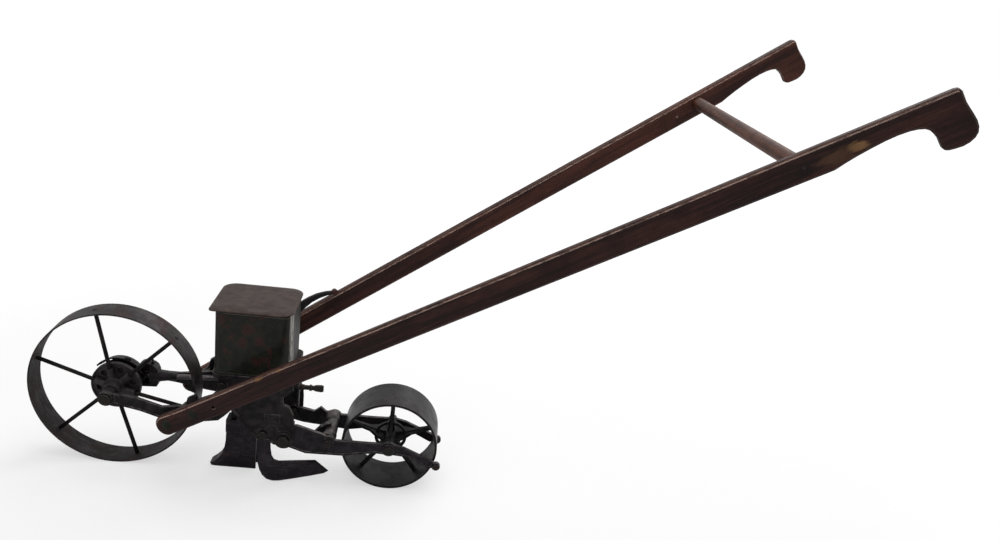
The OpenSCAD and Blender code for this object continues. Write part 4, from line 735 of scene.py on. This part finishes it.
skirt_slack, skirt_depth, skirt_t = 0.0024, 0.0082, 0.0015
skirt_size = box_size - Vector((2 * sheet_t + skirt_slack, 2 * sheet_t + skirt_slack, 0))
skirt_size.z = skirt_depth
skirt_middle = (box_middle.x, box_middle.y, lid_top - lid_t - skirt_depth / 2)
skirt = bmesh.ops.create_cube(cover, size=1)["verts"]
bmesh.ops.scale(cover, verts=skirt, vec=skirt_size)
bmesh.ops.translate(cover, verts=skirt, vec=skirt_middle)
skirt_faces = [face for face in cover.faces if face.verts[0] in skirt]
ends = [face for face in skirt_faces if abs(face.normal.z) > 0.9]
uprights = [
    edge for edge in cover.edges
    if edge.verts[0] in skirt and abs(edge.verts[0].co.z - edge.verts[1].co.z) > skirt_depth / 2
]
bmesh.ops.delete(cover, geom=ends, context="FACES_ONLY")
bmesh.ops.bevel(
    cover, geom=uprights, offset=corner_r - sheet_t, segments=6, profile=0.5, affect="EDGES", material=-1
)
ring = [face for face in cover.faces if any(vert.co.z < skirt_middle[2] for vert in face.verts)]
bmesh.ops.solidify(cover, geom=ring, thickness=skirt_t)
bmesh.ops.recalc_face_normals(cover, faces=cover.faces)
place_piece("lid_sheet", cover, lid_steel, "lid", "lid_sheet", "lid", sharp=40)


# HANDLES AND CROSSPIECE
# Ash planks with chamfered edges and shaped grips, bolted outside the frames, and a turned bar nailed
# between them. Years of use and weather have made them dark, with pale wear along the edges, and a
# highlight is painted along each handle's upper near edge and along the top of the bar.

handle_slope = math.atan(0.66)
splay = math.radians(12.13)


def old_wood(name, grain_turn, dark, light, wear_and_highlight_normal, highlight_line_normal, spots):
    """Dark wood, dashed with wear and a painted highlight where it faces one given normal, with a painted
    highlight line where it faces the other.

    Each spot is a centre, how far it reaches, how much longer it is along the grain, its strength and colour.
    """
    material, place = start_material(name)
    rounded, edge = softened(place, 0.0012)
    wide_round = softened(place, 0.0026)[0]
    along = place.node("Mapping", {"vector_type": "TEXTURE"}, {"Vector": place, "Rotation": grain_turn})
    fibre = noise(along, 1, 6, 0.7, stretch=(14, 420, 420))
    figure = noise(along, 1, 4, 0.6, stretch=(3, 60, 60))
    pores = rise(noise(along, 1, 3, 0.6, stretch=(60, 1500, 1500)), 0.55, 0.66)
    cloud = noise(place, 16, 6, 0.62)
    dashes = rise(noise(along, 1, 4, 0.7, stretch=(60, 200, 200), shift=(3, 0, 1)), 0.40, 0.54)
    flat = place.node("NewGeometry", {}, {}, output="Normal")
    # Painted highlights: a band on faces turned the first way, dashed with real wear, and a pale line on the
    # edge turned the second way.
    wear_and_highlight_band = rise(dot(flat, wear_and_highlight_normal), 0.93, 0.98)
    highlight_line = rise(dot(wide_round, highlight_line_normal), 0.942, 0.958)
    rubbed = rise(edge, 0.015, 0.12) * rise(noise(place, 45, 5, 0.65), 0.36, 0.60)
    fibre_tone, cloud_tone, pore_tone = tone(84, 50, 44), tone(20, 10, 9), tone(16, 9, 8)
    rubbed_tone, wear_and_highlight_tone, highlight_line_tone = tone(112, 78, 62), tone(112, 84, 72), tone(222, 190, 176)
    colour = mix(rise(figure, 0.36, 0.66), dark, light)
    colour = mix(rise(fibre, 0.42, 0.68) * 0.4, colour, fibre_tone)
    colour = mix(rise(cloud, 0.44, 0.70) * 0.5, colour, cloud_tone)
    colour = mix(pores * 0.6, colour, pore_tone)
    colour = mix(rubbed * 0.5, colour, rubbed_tone)
    colour = mix(wear_and_highlight_band * dashes * 0.4, colour, wear_and_highlight_tone)
    colour = mix(highlight_line * (0.35 + 0.65 * dashes), colour, highlight_line_tone)
    for centre, reach, length, strength, bare in spots:
        away = place.node("VectorMath", {"operation": "SUBTRACT"}, {0: place, 1: centre})
        turned = away.node("Mapping", {"vector_type": "TEXTURE"}, {"Vector": away, "Rotation": grain_turn})
        squeezed = turned.node("VectorMath", {"operation": "MULTIPLY"}, {0: turned, 1: (1 / length, 1, 1)})
        reached = squeezed.node("VectorMath", {"operation": "LENGTH"}, {0: squeezed}, output="Value")
        ragged = reached + 0.8 * reach * (2 * noise(along, 1, 5, 0.7, stretch=(40, 190, 190)) - 1)
        colour = mix((1 - rise(ragged, reach * 0.35, reach)) * strength, colour, bare)
    sockets = {"Base Color": colour, "Roughness": 0.36 + 0.22 * cloud + 0.14 * fibre + 0.1 * rubbed}
    finish(material, sockets, 0.6 * fibre + 0.6 * figure - 0.5 * pores, 0.0005, rounded)
    return material


def edge_normals(side):
    """Which way a handle's upper near chamfer faces, and the edge under it. Side is -1 left and 1 right."""
    out = Vector((math.sin(splay) * side, -math.cos(splay), 0))
    along = Vector((math.cos(splay), math.sin(splay) * side, 0))
    up = Vector((0, 0, math.cos(handle_slope))) - along * math.sin(handle_slope)
    chamfer = (out + up).normalized()
    return chamfer, (out + chamfer).normalized()


ochre, pale_grip, brown_grip = tone(140, 100, 58), tone(142, 108, 72), tone(84, 60, 42)
knot, plug = tone(18, 10, 8), tone(140, 118, 104)
left_spots = [
    ((0.573, -0.315, 0.803), 0.010, 1.8, 0.7, pale_grip),
    ((0.549, -0.310, 0.783), 0.014, 2.8, 0.6, brown_grip),
    ((0.510, -0.302, 0.756), 0.012, 1.6, 0.8, knot),
    ((-0.289, -0.130, 0.255), 0.004, 3.0, 0.7, ochre),
    ((-0.254, -0.137, 0.279), 0.004, 2.5, 0.7, ochre),
]
right_spots = [((0.460, 0.272, 0.726), 0.004, 1.0, 0.7, plug)]

left_edges, right_edges = edge_normals(-1), edge_normals(1)
left_wood = old_wood(
    "left_wood", Euler((0, -handle_slope, -splay)), dark=tone(21, 10, 9), light=tone(52, 29, 25),
    wear_and_highlight_normal=left_edges[0], highlight_line_normal=left_edges[1], spots=left_spots,
)
right_wood = old_wood(
    "right_wood", Euler((0, -handle_slope, splay)), dark=tone(32, 15, 12), light=tone(78, 43, 33),
    wear_and_highlight_normal=right_edges[0], highlight_line_normal=right_edges[1], spots=right_spots,
)
# On the bar the highlight band is painted along its top, and the highlight line faces its hidden ends.
bar_wood = old_wood(
    "bar_wood", Euler((0, 0, math.pi / 2)), dark=tone(52, 28, 20), light=tone(96, 59, 44),
    wear_and_highlight_normal=(0, 0, 1), highlight_line_normal=(0, 1, 0), spots=[],
)
dress(left_wood, "left_handle")
dress(right_wood, "right_handle")
dress(bar_wood, "crosspiece")


# FLOOR, BACKDROP, LIGHT AND CAMERA
# A white sweep of paper under soft lamps. The camera stands where the photograph was taken from, on the
# machine's left, a little above the grips.

def paper(name):
    """A white surface that keeps the shadow near the machine and runs out to plain white further off."""
    material, place = start_material(name)
    tree = material.node_tree
    shader = tree.nodes["Principled BSDF"]
    shader.inputs["Base Color"].default_value = (0.88, 0.88, 0.88, 1)
    shader.inputs["Roughness"].default_value = 0.9
    shader.inputs["Specular IOR Level"].default_value = 0.0
    away = place.node("VectorMath", {"operation": "LENGTH"}, {0: place}, output="Value")
    seen = place.node("LightPath", {}, {}, output="Is Camera Ray")
    white = place.node("Emission", {}, {"Color": (1, 1, 1, 1), "Strength": 1.1})
    share = seen * (0.52 + 0.48 * rise(away, 0.85, 1.9))
    both = place.node("MixShader", {}, {0: share, 1: Value(shader.outputs[0]), 2: white})
    tree.links.new(both.socket, tree.nodes["Material Output"].inputs["Surface"])
    return material


floor_reach = 9
floor_shape = bmesh.new()
bmesh.ops.create_grid(floor_shape, x_segments=1, y_segments=1, size=floor_reach)
floor_mesh = bpy.data.meshes.new("floor")
floor_shape.to_mesh(floor_mesh)
floor_shape.free()
floor_mesh.materials.append(paper("floor_paper"))
floor = bpy.data.objects.new("floor", floor_mesh)
bpy.context.scene.collection.objects.link(floor)

world = bpy.data.worlds.new("studio")
bpy.context.scene.world = world
world.use_nodes = True
sky = world.node_tree.nodes["Background"]
sky.inputs["Color"].default_value = (1, 1, 1, 1)
rays = world.node_tree.nodes.new("ShaderNodeLightPath")
in_camera, in_gloss, in_glass = [
    Value(rays.outputs[f"Is {kind} Ray"]) for kind in ("Camera", "Glossy", "Transmission")
]
seen_white = in_camera.math("MAXIMUM", in_camera, in_gloss.math("MAXIMUM", in_gloss, in_glass))
plain_light = 0.42
world.node_tree.links.new((plain_light + (1 - plain_light) * seen_white).socket, sky.inputs["Strength"])


def soft_lamp(name, place, aim, size, power):
    """A flat lamp of this size, in metres, that faces the point aim."""
    lamp = bpy.data.lights.new(name, "AREA")
    lamp.shape = "RECTANGLE"
    lamp.size, lamp.size_y = size
    lamp.energy = power
    made = bpy.data.objects.new(name, lamp)
    made.location = place
    made.rotation_euler = (Vector(aim) - Vector(place)).to_track_quat("-Z", "Y").to_euler()
    bpy.context.scene.collection.objects.link(made)


soft_lamp("window_lamp", place=(-1.6, -2.2, 2.6), aim=(0, 0, 0.3), size=(3.6, 2.8), power=15)
soft_lamp("back_lamp", place=(1.6, 2.2, 2.6), aim=(0, 0, 0.4), size=(2.6, 1.6), power=40)
soft_lamp("top_lamp", place=(0.1, 0.2, 3.0), aim=(0, 0, 0), size=(2.2, 2.2), power=38)

photo_width, lens_in_pixels, sensor = 1000, 909.653, 36
camera_turns = (70.5436, -6.9110, -2.5512)
camera = bpy.data.cameras.new("camera")
camera.sensor_width = sensor
camera.lens = sensor * lens_in_pixels / photo_width
viewpoint = bpy.data.objects.new("camera", camera)
viewpoint.location = (-0.02076, -1.56667, 1.00450)
viewpoint.rotation_euler = Euler([math.radians(turn) for turn in camera_turns])
bpy.context.scene.collection.objects.link(viewpoint)
bpy.context.scene.camera = viewpoint

bpy.context.scene.view_settings.view_transform = "Standard"
